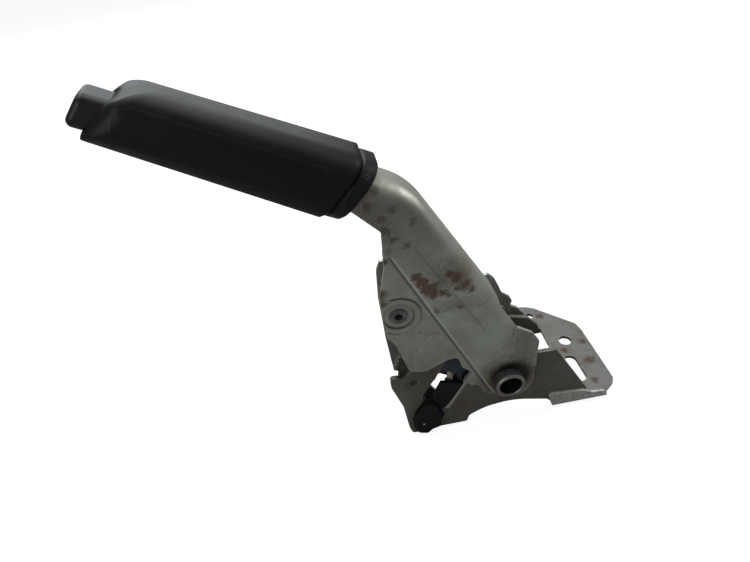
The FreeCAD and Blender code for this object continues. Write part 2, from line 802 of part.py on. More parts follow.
def pawl_pin():
    """Rivet through both lower cheeks, hollow where its near head is set."""
    seat = -cheek_half - pad_height + recess_depth
    body = cross_pin(pawl_pin_x, pawl_pin_z, pawl_pin_diameter / 2, seat, cheek_half)
    near = cross_pin(pawl_pin_x, pawl_pin_z, pawl_pin_head / 2, seat - pawl_pin_head_height, seat)
    far = cross_pin(pawl_pin_x, pawl_pin_z, pawl_pin_head / 2 + 1.0, cheek_half, cheek_half + 1.6)
    hollow = cross_pin(pawl_pin_x, pawl_pin_z, pawl_pin_hollow / 2, seat - 2, seat + 4)
    return body.fuse([near, far]).cut(hollow).removeSplitter()


def pawl_spacer():
    """Sleeve that keeps the pawl beside the near cheek."""
    start = sector_far + pawl_side_play
    body = cross_pin(pawl_pin_x, pawl_pin_z, pawl_pin_diameter / 2 + pawl_spacer_wall, start, cheek_inner)
    return body.cut(cross_pin(pawl_pin_x, pawl_pin_z, pawl_pin_diameter / 2, start - 1, cheek_inner + 1))


def flat_wire(path_start, heading, radius):
    """Section of a spring's wire, square to its heading."""
    side = heading.cross(FreeCAD.Vector(0.31, 0.82, 0.48)).normalize()
    up = heading.cross(side).normalize()
    points = []
    for index in range(spring_sides):
        turn = 2 * math.pi * index / spring_sides
        points.append(path_start + side * (radius * math.cos(turn)) + up * (radius * math.sin(turn)))
    return Part.makePolygon(points + points[:1])


def coil(pitch, turns, radius, wire, legs=0.0):
    """Helical spring up the Z axis, with straight legs along its ends' headings."""
    helix = Part.makeHelix(pitch, pitch * turns, radius)
    edges = helix.Edges
    first = edges[0].valueAt(edges[0].FirstParameter)
    heading = edges[0].tangentAt(edges[0].FirstParameter)
    if legs > 0:
        last = edges[-1].valueAt(edges[-1].LastParameter)
        leaving = edges[-1].tangentAt(edges[-1].LastParameter)
        before = Part.LineSegment(first - heading * legs, first).toShape()
        after = Part.LineSegment(last, last + leaving * legs).toShape()
        edges = [before] + edges + [after]
        first = first - heading * legs
    return Part.Wire(edges).makePipeShell([flat_wire(first, heading, wire / 2)], True, True)


def pawl_spring():
    """Torsion spring round the sleeve, its legs lying along the far cheek and the pawl's side."""
    radius = pawl_pin_diameter / 2 + pawl_spacer_wall + 0.2 + pawl_spring_wire / 2
    body = coil(pawl_spring_pitch, pawl_spring_turns, radius, pawl_spring_wire, pawl_spring_leg)
    body.rotate(FreeCAD.Vector(0, 0, 0), FreeCAD.Vector(1, 0, 0), -90)
    climb = pawl_spring_pitch / math.hypot(pawl_spring_pitch, 2 * math.pi * radius)
    length = pawl_spring_pitch * pawl_spring_turns + pawl_spring_leg * climb + pawl_spring_wire / 2
    body.translate(vec(pawl_pin_x, pawl_pin_z, cheek_inner - pawl_side_play / 2 - length))
    return body


def button_rod():
    """Wire rod from the button, bent down the beam to its hook in the pawl's arm."""
    radius = rod_diameter / 2
    start = vec(*handle_point(button_back - 4.0, rod_level))
    bend = vec(*handle_point(rod_bend_at, rod_level))
    hook = vec(*rod_hook())
    first = (bend - start).normalize()
    second = (hook - bend).normalize()
    opening = math.pi - first.getAngle(second)
    reach = rod_bend_radius / math.tan(opening / 2)
    a = bend - first * reach
    b = bend + second * reach
    bisector = (second - first).normalize()
    centre_gap = math.hypot(reach, rod_bend_radius)
    middle = bend + bisector * (centre_gap - rod_bend_radius)
    path = Part.Wire([Part.LineSegment(start, a).toShape(), Part.Arc(a, middle, b).toShape(),
                      Part.LineSegment(b, hook).toShape()])
    profile = Part.Wire([Part.Circle(start, first, radius).toShape()])
    body = path.makePipeShell([profile], True, False)
    elbow = Part.makeSphere(radius, hook)
    end = sector_near - 0.8
    pin = cross_pin(hook.x, hook.z, radius, end, 0.0)
    collar = Part.makeCylinder(rod_collar_radius, rod_collar_length,
                               vec(*handle_point(rod_collar_at, rod_level)), first)
    return body.fuse([elbow, pin, collar]).removeSplitter()


def button_spring():
    """Return spring on the rod, seated on the guide and drawn at its pressed length."""
    start = rod_guide_at
    end = rod_collar_at + rod_collar_length + button_travel + 0.3
    length = start - end
    pitch = (length - spring_wire) / spring_turns
    body = coil(pitch, spring_turns, spring_radius, spring_wire)
    body.rotate(FreeCAD.Vector(0, 0, 0), FreeCAD.Vector(0, 1, 0), 90)
    body.translate(FreeCAD.Vector(end + spring_wire / 2, 0, rod_level))
    return in_handle(body)


def rod_guide():
    """Moulded block in the channel that guides the rod and seats the spring."""
    inner = beam_inner
    low = handle_back - handle_depth
    top = handle_back - lever_sheet
    body = handle_bar(rod_guide_at, rod_guide_at + rod_guide_length, (low + top) / 2, top - low, 2 * inner,
                      shoulder_radius - lever_sheet)
    hole = Part.makeCylinder(rod_diameter / 2 + 0.08, rod_guide_length + 2,
                             FreeCAD.Vector(rod_guide_at - 1, 0, rod_level), FreeCAD.Vector(1, 0, 0))
    return in_handle(body.cut(hole))


def release_button():
    """Thumb button that slides in the grip's mouth, its face leaning as the grip's."""
    bar = handle_bar(button_front - 12.0, button_back, button_level, button_height, button_width,
                     button_corner)
    body = bar.cut(slant_cut(button_front, button_slant))
    face = [edge for edge in body.Edges if on_slant(edge, button_front, button_slant)]
    body = body.makeFillet(button_edge, face)
    bore = Part.makeCylinder(rod_diameter / 2, 10.0, FreeCAD.Vector(button_back - 4.0, 0, rod_level),
                             FreeCAD.Vector(1, 0, 0))
    return in_handle(body.cut(bore))


def on_slant(edge, along, slant):
    """True where an edge lies in the slanted plane through the handle's middle."""
    lean = math.tan(math.radians(slant))
    points = [edge.valueAt(edge.FirstParameter), edge.valueAt(edge.LastParameter),
              edge.valueAt((edge.FirstParameter + edge.LastParameter) / 2)]
    return all(abs(p.x - along - (p.z - grip_rear_level) * lean) < 0.05 for p in points)


def tapered_bar():
    """The grip's tapering body with its four long edges rounded, in the handle's own axes."""
    run = grip_rear - grip_front
    side = []
    plan = []
    for along in (grip_front - 30.0, grip_rear + 30.0):
        share = (along - grip_front) / run
        half_h = (grip_front_height + (grip_rear_height - grip_front_height) * share) / 2
        half_w = (grip_front_width + (grip_rear_width - grip_front_width) * share) / 2
        level = grip_front_level + (grip_rear_level - grip_front_level) * share
        side.append((FreeCAD.Vector(along, -40, level - half_h), FreeCAD.Vector(along, -40, level + half_h)))
        plan.append((FreeCAD.Vector(along, -half_w, 0), FreeCAD.Vector(along, half_w, 0)))
    body = quad_prism(side, FreeCAD.Vector(0, 80, 0)).common(quad_prism(plan, FreeCAD.Vector(0, 0, 200)))
    return body.makeFillet(grip_corner, [edge for edge in body.Edges if edge.BoundBox.XLength > 50.0])


def quad_prism(ends, push):
    """A prism over the four-sided face between two pairs of points."""
    (a, b), (c, d) = ends
    return Part.Face(Part.makePolygon([a, b, d, c, a])).extrude(push)


def grip():
    """Moulded sleeve over the arm, with a round-lipped slanted mouth for the button."""
    body = tapered_bar().cut(slant_cut(grip_front, grip_front_slant))
    body = body.common(slant_cut(grip_rear, grip_rear_slant, 120.0))
    body = body.cut(mouth_rounding())
    heel = [edge for edge in body.Edges if on_slant(edge, grip_rear, grip_rear_slant)]
    body = body.makeChamfer(grip_heel_chamfer, heel)
    button_room = handle_bar(button_front - 20, handle_front - grip_play, button_level,
                             button_height + 2 * button_play, button_width + 2 * button_play,
                             button_corner + button_play)
    return in_handle(body.cut(button_room)).cut(arm_room(grip_play))


def mouth_rounding():
    """What is rounded off the grip's mouth: its brow, its chin and its two side edges."""
    lean = math.radians(grip_front_slant)
    run = grip_rear - grip_front
    rise = (grip_rear_level - grip_front_level) / run
    flare = (grip_rear_height - grip_front_height) / run / 2
    tools = []
    for side, radius in ((1, grip_brow_radius), (-1, grip_chin_radius)):
        edge = math.atan(rise + side * flare)
        surface = (-math.sin(edge), math.cos(edge), 0)
        start = (grip_front, grip_front_level + side * grip_front_height / 2)
        surface = (surface[0], surface[1], surface[0] * start[0] + surface[1] * start[1])
        mouth = (math.cos(lean), -math.sin(lean),
                 grip_front * math.cos(lean) - grip_rear_level * math.sin(lean))
        corner = cross(surface, mouth)
        along = (math.cos(edge), math.sin(edge))
        inward = (-side * math.sin(lean), -side * math.cos(lean))
        face = corner_waste(corner, along, inward, radius, lambda x, z: FreeCAD.Vector(x, -40, z))
        tools.append(face.extrude(FreeCAD.Vector(0, 80, 0)))
    taper = math.atan((grip_rear_width - grip_front_width) / run / 2)
    for side in (-1, 1):
        corner = (grip_front, side * grip_front_width / 2)
        along = (math.cos(taper), side * math.sin(taper))
        drop = 60.0
        face = corner_waste(corner, along, (0, -side), grip_cheek_radius,
                            lambda x, y: FreeCAD.Vector(x - drop * math.tan(lean), y, grip_rear_level - drop))
        tools.append(face.extrude(FreeCAD.Vector(2 * drop * math.tan(lean), 0, 2 * drop)))
    return tools


def corner_waste(corner, first, second, radius, place):
    """The face outside an arc that rounds a corner between two directions."""
    opening = math.acos(first[0] * second[0] + first[1] * second[1])
    reach = radius / math.tan(opening / 2)
    a = (corner[0] + first[0] * reach, corner[1] + first[1] * reach)
    b = (corner[0] + second[0] * reach, corner[1] + second[1] * reach)
    bisector = (first[0] + second[0], first[1] + second[1])
    size = math.hypot(*bisector)
    near = (math.hypot(reach, radius) - radius) / size
    middle = (corner[0] + bisector[0] * near, corner[1] + bisector[1] * near)
    centre_gap = math.hypot(reach, radius) / size
    centre = (corner[0] + bisector[0] * centre_gap, corner[1] + bisector[1] * centre_gap)
    out = 12.0
    far_a = (a[0] + (a[0] - centre[0]) * out / radius, a[1] + (a[1] - centre[1]) * out / radius)
    far_b = (b[0] + (b[0] - centre[0]) * out / radius, b[1] + (b[1] - centre[1]) * out / radius)
    far = (corner[0] - bisector[0] * out, corner[1] - bisector[1] * out)
    edges = [Part.Arc(place(*a), place(*middle), place(*b)).toShape()]
    for start, end in ((b, far_b), (far_b, far), (far, far_a), (far_a, a)):
        edges.append(Part.LineSegment(place(*start), place(*end)).toShape())
    return Part.Face(Part.Wire(edges))


def arm_room(play):
    """The space that the pressed arm takes inside the grip and the collar."""
    low = handle_back - handle_depth
    bar = handle_bar(handle_front - play, rod_bend_at + 40, (low + handle_back) / 2, handle_depth + 2 * play,
                     beam_width + 2 * play, shoulder_radius)
    square = handle_bar(handle_front - play, rod_bend_at + 40, low + handle_depth / 4,
                        handle_depth / 2 + 2 * play, beam_width + 2 * play, 0.5)
    return in_handle(bar.fuse(square))


def grip_collar():
    """Separate ring behind the grip, with the groove between them."""
    ring = collar_stretch(grip_rear + collar_groove, collar_length, 0.0)
    ends = [edge for edge in ring.Edges
            if on_slant(edge, grip_rear + collar_groove, grip_rear_slant)
            or on_slant(edge, grip_rear + collar_groove + collar_length, grip_rear_slant)]
    ring = ring.makeChamfer(collar_edge, ends)
    neck = collar_stretch(grip_rear, collar_groove + 1.0, collar_groove_inset)
    return in_handle(ring.fuse(neck).removeSplitter()).cut(arm_room(grip_play))


def collar_stretch(start, length, inset):
    """A slanted slice of the collar's section, in the handle's own axes."""
    bar = handle_bar(start - 40, start + 50, collar_level, collar_height - 2 * inset,
                     collar_width - 2 * inset, collar_corner - inset)
    bar = bar.cut(slant_cut(start, grip_rear_slant))
    return bar.common(slant_cut(start + length, grip_rear_slant, 120.0))


def switch_housing():
    """Warning-lamp switch, clipped in the near cheek's window with its plug end down."""
    in_window = side_plate([
        (-40.2, 2.6, 0.5), (-46.0, -9.2, 1.0), (-50.2, -9.0, 1.0), (-53.0, -13.8, 1.0),
        (-57.9, -19.6, 3.0), (-60.2, -26.0, 4.0), (-59.4, -32.0, 3.0), (-56.4, -37.0, 2.5),
        (-43.0, -36.6, 2.0), (-38.5, -26.8, 1.0), (-40.4, -22.0, 1.0), (-36.2, -18.4, 0.5),
        (-25.8, -1.0, 1.0),
    ], -base_half, -base_inner)
    in_window = in_window.common(side_plate(switch_window(), -base_half, -base_inner))
    body = side_plate([
        (-37.6, -9.8, 0.5), (-43.8, -21.4, 1.0), (-48.4, -21.4, 1.0), (-51.2, -26.0, 1.0),
        (-56.5, -32.5, 2.0), (-56.0, -36.0, 1.5), (-44.0, -35.0, 2.0), (-40.0, -24.0, 2.0),
        (-28.0, -8.0, 1.0),
    ], -base_inner, switch_far)
    plug = side_plate([
        (-50.8, -11.6, 2.0), (-58.2, -20.6, 3.0), (-60.2, -26.0, 4.0), (-59.2, -32.0, 3.0),
        (-56.6, -37.4, 2.0), (-51.0, -39.4, 1.5), (-47.8, -36.2, 1.5), (-42.6, -34.6, 1.5),
        (-41.4, -24.0, 3.0), (-45.0, -13.0, 3.0),
    ], switch_near, -base_half)
    boss = plunger_bar(plunger_radius + plunger_boss_wall, plunger_boss_top - plunger_foot)
    housing = in_window.fuse([body, plug, boss])
    housing = housing.cut(plunger_bar(plunger_radius + pivot_play, plunger_length))
    socket = Part.makeBox(socket_width, socket_depth, socket_height,
                          FreeCAD.Vector(socket_x, socket_y, socket_foot))
    return housing.cut(socket).removeSplitter()


def plunger_bar(radius, length, shift=0.0):
    """A round bar on the plunger's axis, from its foot inside the switch upwards."""
    foot = FreeCAD.Vector(plunger_x, plunger_y, plunger_foot + shift)
    return Part.makeCylinder(radius, length, foot, FreeCAD.Vector(0, 0, 1))


def switch_plunger():
    """Sprung plunger of the switch, drawn out."""
    start = plunger_travel + running_gap
    body = plunger_bar(plunger_radius, plunger_length - start, start)
    top = [edge for edge in body.Edges if edge.BoundBox.ZMin > plunger_foot + plunger_length - 0.5]
    return body.makeFillet(plunger_radius * 0.6, top)


def switch_terminals():
    """Two flat terminals in the switch's downward socket."""
    blades = []
    roof = socket_foot + socket_height
    near = socket_y + (socket_depth - terminal_width) / 2
    for share in (0.29, 0.71):
        corner = FreeCAD.Vector(socket_x + socket_width * share - terminal_thickness / 2, near, roof - terminal_length)
        blades.append(Part.makeBox(terminal_thickness, terminal_width, terminal_length, corner))
    return Part.makeCompound(blades)


def switch_bracket():
    """Steel plate behind the window with a round arch over the plunger."""
    outline = [
        (-47.5, 3.6, 1.0), (-47.5, 10.0, 2.0), (-41.0, 26.0, 2.0), (-31.0, 31.0, 2.0),
        (-14.0, 18.0, 2.0), (-14.0, 6.4, 1.0), (-26.4, 6.4, 0.5), (-27.2, -3.0, 0.5),
        (-27.7, -3.0, 0), (-28.2, 1.0, 3.0), (-30.6, 5.2, 4.0), (-35.0, 9.0, 4.0), (-38.5, 10.1, 3.0),
        (-42.2, 8.6, 2.0), (-43.6, 3.6, 0.5),
    ]
    return side_plate(outline, -base_inner, -base_inner + bracket_sheet)


def save(name, shape):
    shape.exportStep(os.path.join("parts", name + ".step"))


def main():
    os.makedirs("parts", exist_ok=True)
    pieces = {
        "lever_arm": lever_arm(),
        "pivot_tube": pivot_tube(),
        "near_pivot_bush": pivot_bush(-1),
        "far_pivot_bush": pivot_bush(1),
        "base_near_cheek": base_near_cheek(),
        "base_far_cheek": base_far_cheek(),
        "rear_flange": rear_flange(),
        "toothed_sector": toothed_sector(),
        "sector_rivets": sector_rivets(),
        "rivet_spacers": rivet_spacers(),
        "pawl": pawl(),
        "pawl_pin": pawl_pin(),
        "pawl_spacer": pawl_spacer(),
        "pawl_spring": pawl_spring(),
        "button_rod": button_rod(),
        "button_spring": button_spring(),
        "rod_guide": rod_guide(),
        "release_button": release_button(),
        "grip": grip(),
        "grip_collar": grip_collar(),
        "cable_guide": cable_guide(),
        "switch_housing": switch_housing(),
        "switch_bracket": switch_bracket(),
        "switch_plunger": switch_plunger(),
        "switch_terminals": switch_terminals(),
    }
    for name, shape in pieces.items():
        print(name, shape.isValid(), len(shape.Solids), round(shape.Volume, 1))
        save(name, shape)


main()
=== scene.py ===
"""Looks of the handbrake lever: finishes for its pressed steel, its moulded grip and its switch,
with a few small moulded and struck marks, a plain floor and soft studio light."""
import math

import bmesh
import bpy
from bpy.props import FloatProperty, FloatVectorProperty, PointerProperty
from mathutils import Euler, Matrix, Vector


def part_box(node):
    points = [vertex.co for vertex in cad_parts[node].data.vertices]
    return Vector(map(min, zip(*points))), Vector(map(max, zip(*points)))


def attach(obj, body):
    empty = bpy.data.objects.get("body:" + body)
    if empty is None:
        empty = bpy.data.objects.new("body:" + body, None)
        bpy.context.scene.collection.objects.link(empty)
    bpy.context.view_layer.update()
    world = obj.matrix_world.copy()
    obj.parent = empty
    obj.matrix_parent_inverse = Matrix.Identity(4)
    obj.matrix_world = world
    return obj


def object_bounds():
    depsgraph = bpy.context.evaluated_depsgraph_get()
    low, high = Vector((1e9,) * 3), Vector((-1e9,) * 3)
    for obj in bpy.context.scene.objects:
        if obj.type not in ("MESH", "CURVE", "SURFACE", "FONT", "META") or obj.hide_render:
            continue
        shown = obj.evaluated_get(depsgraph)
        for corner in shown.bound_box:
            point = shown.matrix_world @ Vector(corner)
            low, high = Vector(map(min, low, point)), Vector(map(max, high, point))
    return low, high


bl_info = {
    "name": "Handbrake Lever Looks",
    "version": (1, 0, 0),
    "blender": (4, 5, 0),
    "location": "View3D > Sidebar > Lever",
    "description": "Finishes and small marks for a pressed steel handbrake lever",
    "category": "Object",
}

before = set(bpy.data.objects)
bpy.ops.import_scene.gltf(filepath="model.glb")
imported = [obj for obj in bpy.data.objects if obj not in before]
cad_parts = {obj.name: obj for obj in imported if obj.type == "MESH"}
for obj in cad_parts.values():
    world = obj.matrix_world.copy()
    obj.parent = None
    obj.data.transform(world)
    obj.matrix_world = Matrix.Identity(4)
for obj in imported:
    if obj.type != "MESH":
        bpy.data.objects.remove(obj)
CAD_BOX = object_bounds()
HANDLE_TILT = math.radians(28.0)

# Tones laid over the coats: stains and wear, with some painted shade and painted highlights
GREY_FLECK = (0.24, 0.25, 0.225)
# Painted shade: the lever darker towards its bottom
LOW_PAINTED_SHADE = (0.15, 0.135, 0.10)
NECK_SHADE = (0.16, 0.15, 0.13)
WEB_SHADE = (0.22, 0.22, 0.20)
BAND_STAIN = (0.26, 0.25, 0.205)
BROWN_FILM = (0.135, 0.108, 0.078)
DARK_GRIME = (0.055, 0.04, 0.026)
HALO_BROWN = (0.17, 0.115, 0.072)
# Rubbed edges, also a painted highlight on the edges
LEVER_WEAR_AND_HIGHLIGHT = (0.75, 0.76, 0.72)
STEP_SHADE = (0.10, 0.10, 0.09)
# Painted highlight: the bright side of the pressed step
STEP_HIGHLIGHT = (0.80, 0.82, 0.77)
RING_SHADE = (0.11, 0.105, 0.09)
CREASE_SHADE = (0.11, 0.115, 0.10)
PIT_SHADE = (0.07, 0.06, 0.045)
BASE_STAIN = (0.095, 0.082, 0.058)
BASE_FLECK = (0.15, 0.15, 0.13)
BASE_PALE = (0.19, 0.19, 0.175)
BASE_BROWN = (0.095, 0.066, 0.035)
# Painted highlight along the base's fold
FOLD_HIGHLIGHT = (0.6, 0.61, 0.57)
BASE_WORN = (0.55, 0.55, 0.5)
FLANGE_STAIN = (0.105, 0.095, 0.075)
FLANGE_BROWN = (0.075, 0.042, 0.025)
LIP_LIGHT = (0.62, 0.62, 0.58)
LIP_DARK = (0.3, 0.3, 0.275)
FLANGE_WORN = (0.6, 0.6, 0.56)
TURNED_WORN = (0.7, 0.69, 0.66)
TUBE_STAIN = (0.30, 0.27, 0.22)
TUBE_SHANK = (0.055, 0.058, 0.062)
# Painted shade inside the tube's bore
TUBE_BORE_SHADE = (0.016, 0.017, 0.019)
GRIP_STAIN = (0.007, 0.008, 0.0082)
GRIP_DUST = (0.035, 0.038, 0.037)
PANEL_TONE = (0.014, 0.015, 0.015)
COLLAR_STAIN = (0.012, 0.013, 0.013)
COLLAR_PALE = (0.05, 0.053, 0.05)
BUTTON_STAIN = (0.011, 0.012, 0.013)
BUTTON_RUBBED = (0.03, 0.033, 0.032)
SWITCH_STAIN = (0.009, 0.011, 0.013)
PLATE_STAIN = (0.03, 0.036, 0.045)
NYLON = (0.42, 0.39, 0.31)
NYLON_STAIN = (0.26, 0.22, 0.15)
TIN = (0.55, 0.50, 0.38)
TIN_STAIN = (0.32, 0.26, 0.15)
STUD_PALE = (0.42, 0.42, 0.40)
STUD_DARK = (0.25, 0.25, 0.23)
FLOOR_CLOUD = (0.2, 0.2, 0.2)

# Turned and drawn steels: tone, stain, roughness and how far the stain shows
TURNED_STEELS = {
    "pin_steel": ((0.23, 0.24, 0.22), (0.08, 0.08, 0.07), 0.34, 0.6),
    "hardened_steel": ((0.10, 0.095, 0.08), (0.045, 0.04, 0.03), 0.42, 0.7),
    "drawn_wire": ((0.30, 0.30, 0.29), (0.12, 0.11, 0.09), 0.3, 0.5),
    "zinc_steel": ((0.42, 0.41, 0.37), (0.22, 0.2, 0.15), 0.36, 0.6),
}

# Places, in metres
PAWL_PIN_PLACE = (-0.0624, 0, 0.0648)
PAD_RINGS = ((0.0084, 0.0009), (0.0122, 0.0009), (0.0047, 0.0012))  # radius and width of each line
COLLAR_MARK = (-0.0701, -0.0131, 0.150)
COLLAR_MARK_RADIUS = 0.0010
PANEL_CENTRE = (-0.1895, 0.0, 0.0903)  # in the handle's own plane
PANEL_HALF_LENGTH = 0.0375
PANEL_HALF_HEIGHT = 0.0015
PANEL_CORNER = 0.0068
STUD_X = -0.0532
STUD_Z = -0.0295
STUD_HEIGHT = 0.0006
STUD_SUNK = 0.0001
LIGHT_AIM = (-0.08, 0.0, 0.05)
FLOOR_SIZE = 6.0

# Each light's name, place, width, the setting with its power, its share of that, and its colour
LIGHTS = (
    ("key_light", (-0.15, 0.25, 1.0), 1.1, "key_power", 1.0, (0.96, 0.98, 1.0)),
    ("back_light", (-0.15, 1.15, 0.85), 1.3, "back_power", 1.0, (0.93, 0.97, 1.0)),
    ("fill_light", (-0.9, -0.9, 0.45), 0.9, "fill_power", 1.0, (0.97, 0.98, 1.0)),
    ("rim_light", (0.8, 0.1, 0.55), 0.5, "fill_power", 0.8, (1.0, 0.99, 0.97)),
)

CAMERA_PLACE = (-0.0883, -0.2278, 0.2612)
CAMERA_RIGHT = (0.98290553, -0.15274012, -0.1027968)
CAMERA_UP = (0.17483696, 0.59938566, 0.78113306)
CAMERA_BACK = (-0.05769543, -0.78575269, 0.6158441)
CAMERA_LENS = 26.4
CAMERA_SENSOR = 36.0


def colour_setting(name, what, default):
    return FloatVectorProperty(name=name, description=what, default=default, size=3,
                               min=0.0, max=1.0, subtype="COLOR")


class LeverSteelSettings(bpy.types.PropertyGroup):
    """Colours and wear of the bare and coated steel."""
    lever_colour: colour_setting("Lever", "Coat of the pressed lever", (0.50, 0.535, 0.475))
    lever_stain: colour_setting("Lever stain", "Brown-grey stain on the lever", (0.30, 0.29, 0.245))
    base_colour: colour_setting("Base", "Coat of the ratchet base", (0.125, 0.122, 0.10))
    flange_colour: colour_setting("Flange", "Coat of the bolting flange", (0.16, 0.162, 0.152))
    rust_colour: colour_setting("Rust", "Surface rust", (0.085, 0.040, 0.019))
    scorch_colour: colour_setting("Scorch", "Blue-black heat mark round the tube",
                                  (0.012, 0.013, 0.014))
    bright_colour: colour_setting("Bright steel", "Turned rim of the tube", (0.22, 0.225, 0.21))
    # Edge wear, set high so that the rubbed edges also serve as painted highlights
    wear: FloatProperty(name="Edge wear", description="How far the sheared edges are rubbed bright",
                        default=0.8, min=0.0, max=1.0, subtype="FACTOR")
    grain: FloatProperty(name="Grain", description="Size of the coat's fine grain", default=0.0011,
                         min=0.0002, max=0.01, unit="LENGTH")


class GripSettings(bpy.types.PropertyGroup):
    """Colours of the moulded grip, its collar and the button."""
    grip_colour: colour_setting("Grip", "Moulded grip", (0.0045, 0.0055, 0.006))
    collar_colour: colour_setting("Collar", "Ring behind the grip", (0.008, 0.0092, 0.0095))
    button_colour: colour_setting("Button", "Thumb button", (0.007, 0.008, 0.009))
    soft_crease: FloatProperty(name="Soft crease",
                               description="How far the grip's moulded creases are eased",
                               default=0.004, min=0.0002, max=0.01, unit="LENGTH")
    seam_place: FloatProperty(name="Seam",
                              description="Where the collar's moulding seam lies along the handle",
                              default=-0.1379, min=-0.2, max=0.0, unit="LENGTH")
    pebble: FloatProperty(name="Pebble", description="Size of the grip's fine pebbling",
                          default=0.0006, min=0.0002, max=0.004, unit="LENGTH")
    panel_line: FloatProperty(name="Panel line",
                              description="Width of the line round the side panel",
                              default=0.0007, min=0.0002, max=0.003, unit="LENGTH")


class SwitchSettings(bpy.types.PropertyGroup):
    """Colours of the warning-lamp switch and its plate."""
    housing_colour: colour_setting("Housing", "Moulded switch", (0.0045, 0.0065, 0.0085))
    plate_colour: colour_setting("Plate", "Passivated plate behind the window", (0.05, 0.06, 0.075))
    stud_radius: FloatProperty(name="Stud radius", description="Small stud on the plug's face",
                               default=0.0008, min=0.0003, max=0.003, unit="LENGTH")


class StageSettings(bpy.types.PropertyGroup):
    """Floor and light."""
    floor_colour: colour_setting("Floor", "Plain pale floor", (0.22, 0.22, 0.22))
    floor_glow: FloatProperty(name="Floor glow",
                              description="Brightness that the camera sees added to the floor",
                              default=0.9, min=0.0, max=2.0)
    key_power: FloatProperty(name="Key light", description="Power of the large light above",
                             default=11.0, min=0.0, max=200.0, unit="POWER")
    back_power: FloatProperty(name="Back light", description="Power of the soft light behind",
                              default=7.5, min=0.0, max=200.0, unit="POWER")
    fill_power: FloatProperty(name="Fill light", description="Power of the light from the left",
                              default=4.2, min=0.0, max=200.0, unit="POWER")
    sky: FloatProperty(name="Sky", description="Strength of the even light all round", default=0.16,
                       min=0.0, max=5.0)


# Shader building

def new_group(name, inputs, outputs):
    """An empty shader group with named inputs (name, kind, default) and outputs (name, kind)."""
    group = bpy.data.node_groups.new(name, "ShaderNodeTree")
    for label, kind, default in inputs:
        socket = group.interface.new_socket(name=label, in_out="INPUT", socket_type=kind)
        if default is not None:
            socket.default_value = default
    for label, kind in outputs:
        group.interface.new_socket(name=label, in_out="OUTPUT", socket_type=kind)
    start = group.nodes.new("NodeGroupInput")
    end = group.nodes.new("NodeGroupOutput")
    return group, start, end


def put(tree, kind, **settings):
    """Adds a node and sets its properties; keys that name sockets fill or link them."""
    node = tree.nodes.new(kind)
    links = settings.pop("feed", {})
    for key, value in settings.items():
        setattr(node, key, value)
    for key, value in links.items():
        socket = node.inputs[key]
        if isinstance(value, bpy.types.NodeSocket):
            tree.links.new(value, socket)
        else:
            socket.default_value = value
    return node


def maths(tree, how, *terms, clamp=False):
    feed = {index: term for index, term in enumerate(terms)}
    return put(tree, "ShaderNodeMath", operation=how, use_clamp=clamp, feed=feed).outputs[0]


def times(tree, first, second, clamp=False):
    return maths(tree, "MULTIPLY", first, second, clamp=clamp)


def plus(tree, first, second):
    return maths(tree, "ADD", first, second)


def minus(tree, first, second):
    return maths(tree, "SUBTRACT", first, second)


def vector_maths(tree, how, first, second, out=0):
    node = put(tree, "ShaderNodeVectorMath", operation=how, feed={0: first, 1: second})
    return node.outputs[out]


def split(tree, vector):
    """The vector's x, y and z."""
    return put(tree, "ShaderNodeSeparateXYZ", feed={0: vector}).outputs


def mix_colour(tree, factor, first, second):
    node = put(tree, "ShaderNodeMix", data_type="RGBA", blend_type="MIX")
    for index, value in ((0, factor), (6, first), (7, second)):
        if isinstance(value, bpy.types.NodeSocket):
            tree.links.new(value, node.inputs[index])
        elif index == 0:
            node.inputs[0].default_value = value
        else:
            node.inputs[index].default_value = tuple(value)[:3] + (1.0,)
    return node.outputs[2]


def tint(tree, colour, mask, amount, tone):
    """Lays a tone over a colour where the mask says, as strongly as the amount says."""
    return mix_colour(tree, times(tree, mask, amount), colour, tone)


def smooth_range(tree, value, low, high, to_low=0.0, to_high=1.0):
    node = put(tree, "ShaderNodeMapRange", interpolation_type="SMOOTHSTEP",
               feed={0: value, 1: low, 2: high, 3: to_low, 4: to_high})
    return node.outputs[0]


def noise(tree, vector, scale, detail=4.0, rough=0.55, distortion=0.0):
    node = put(tree, "ShaderNodeTexNoise", feed={"Vector": vector, "Scale": scale, "Detail": detail,
                                                "Roughness": rough, "Distortion": distortion})
    return node.outputs["Fac"]


def build_mottle():
    """Cloudy stains: a slow and a quick noise, 0 to 1."""
    group, start, end = new_group("stain_mottle", [("Vector", "NodeSocketVector", None),
                                                   ("Size", "NodeSocketFloat", 0.02)],
                                  [("Mask", "NodeSocketFloat")])
    scale = maths(group, "DIVIDE", 1.0, start.outputs["Size"])
    slow = noise(group, start.outputs["Vector"], scale, 5.0, 0.6, 0.4)
    quick = noise(group, start.outputs["Vector"], times(group, scale, 4.3), 4.0, 0.65)
    both = plus(group, times(group, slow, 0.7), times(group, quick, 0.3))
    group.links.new(smooth_range(group, both, 0.4, 0.62), end.inputs["Mask"])
    return group


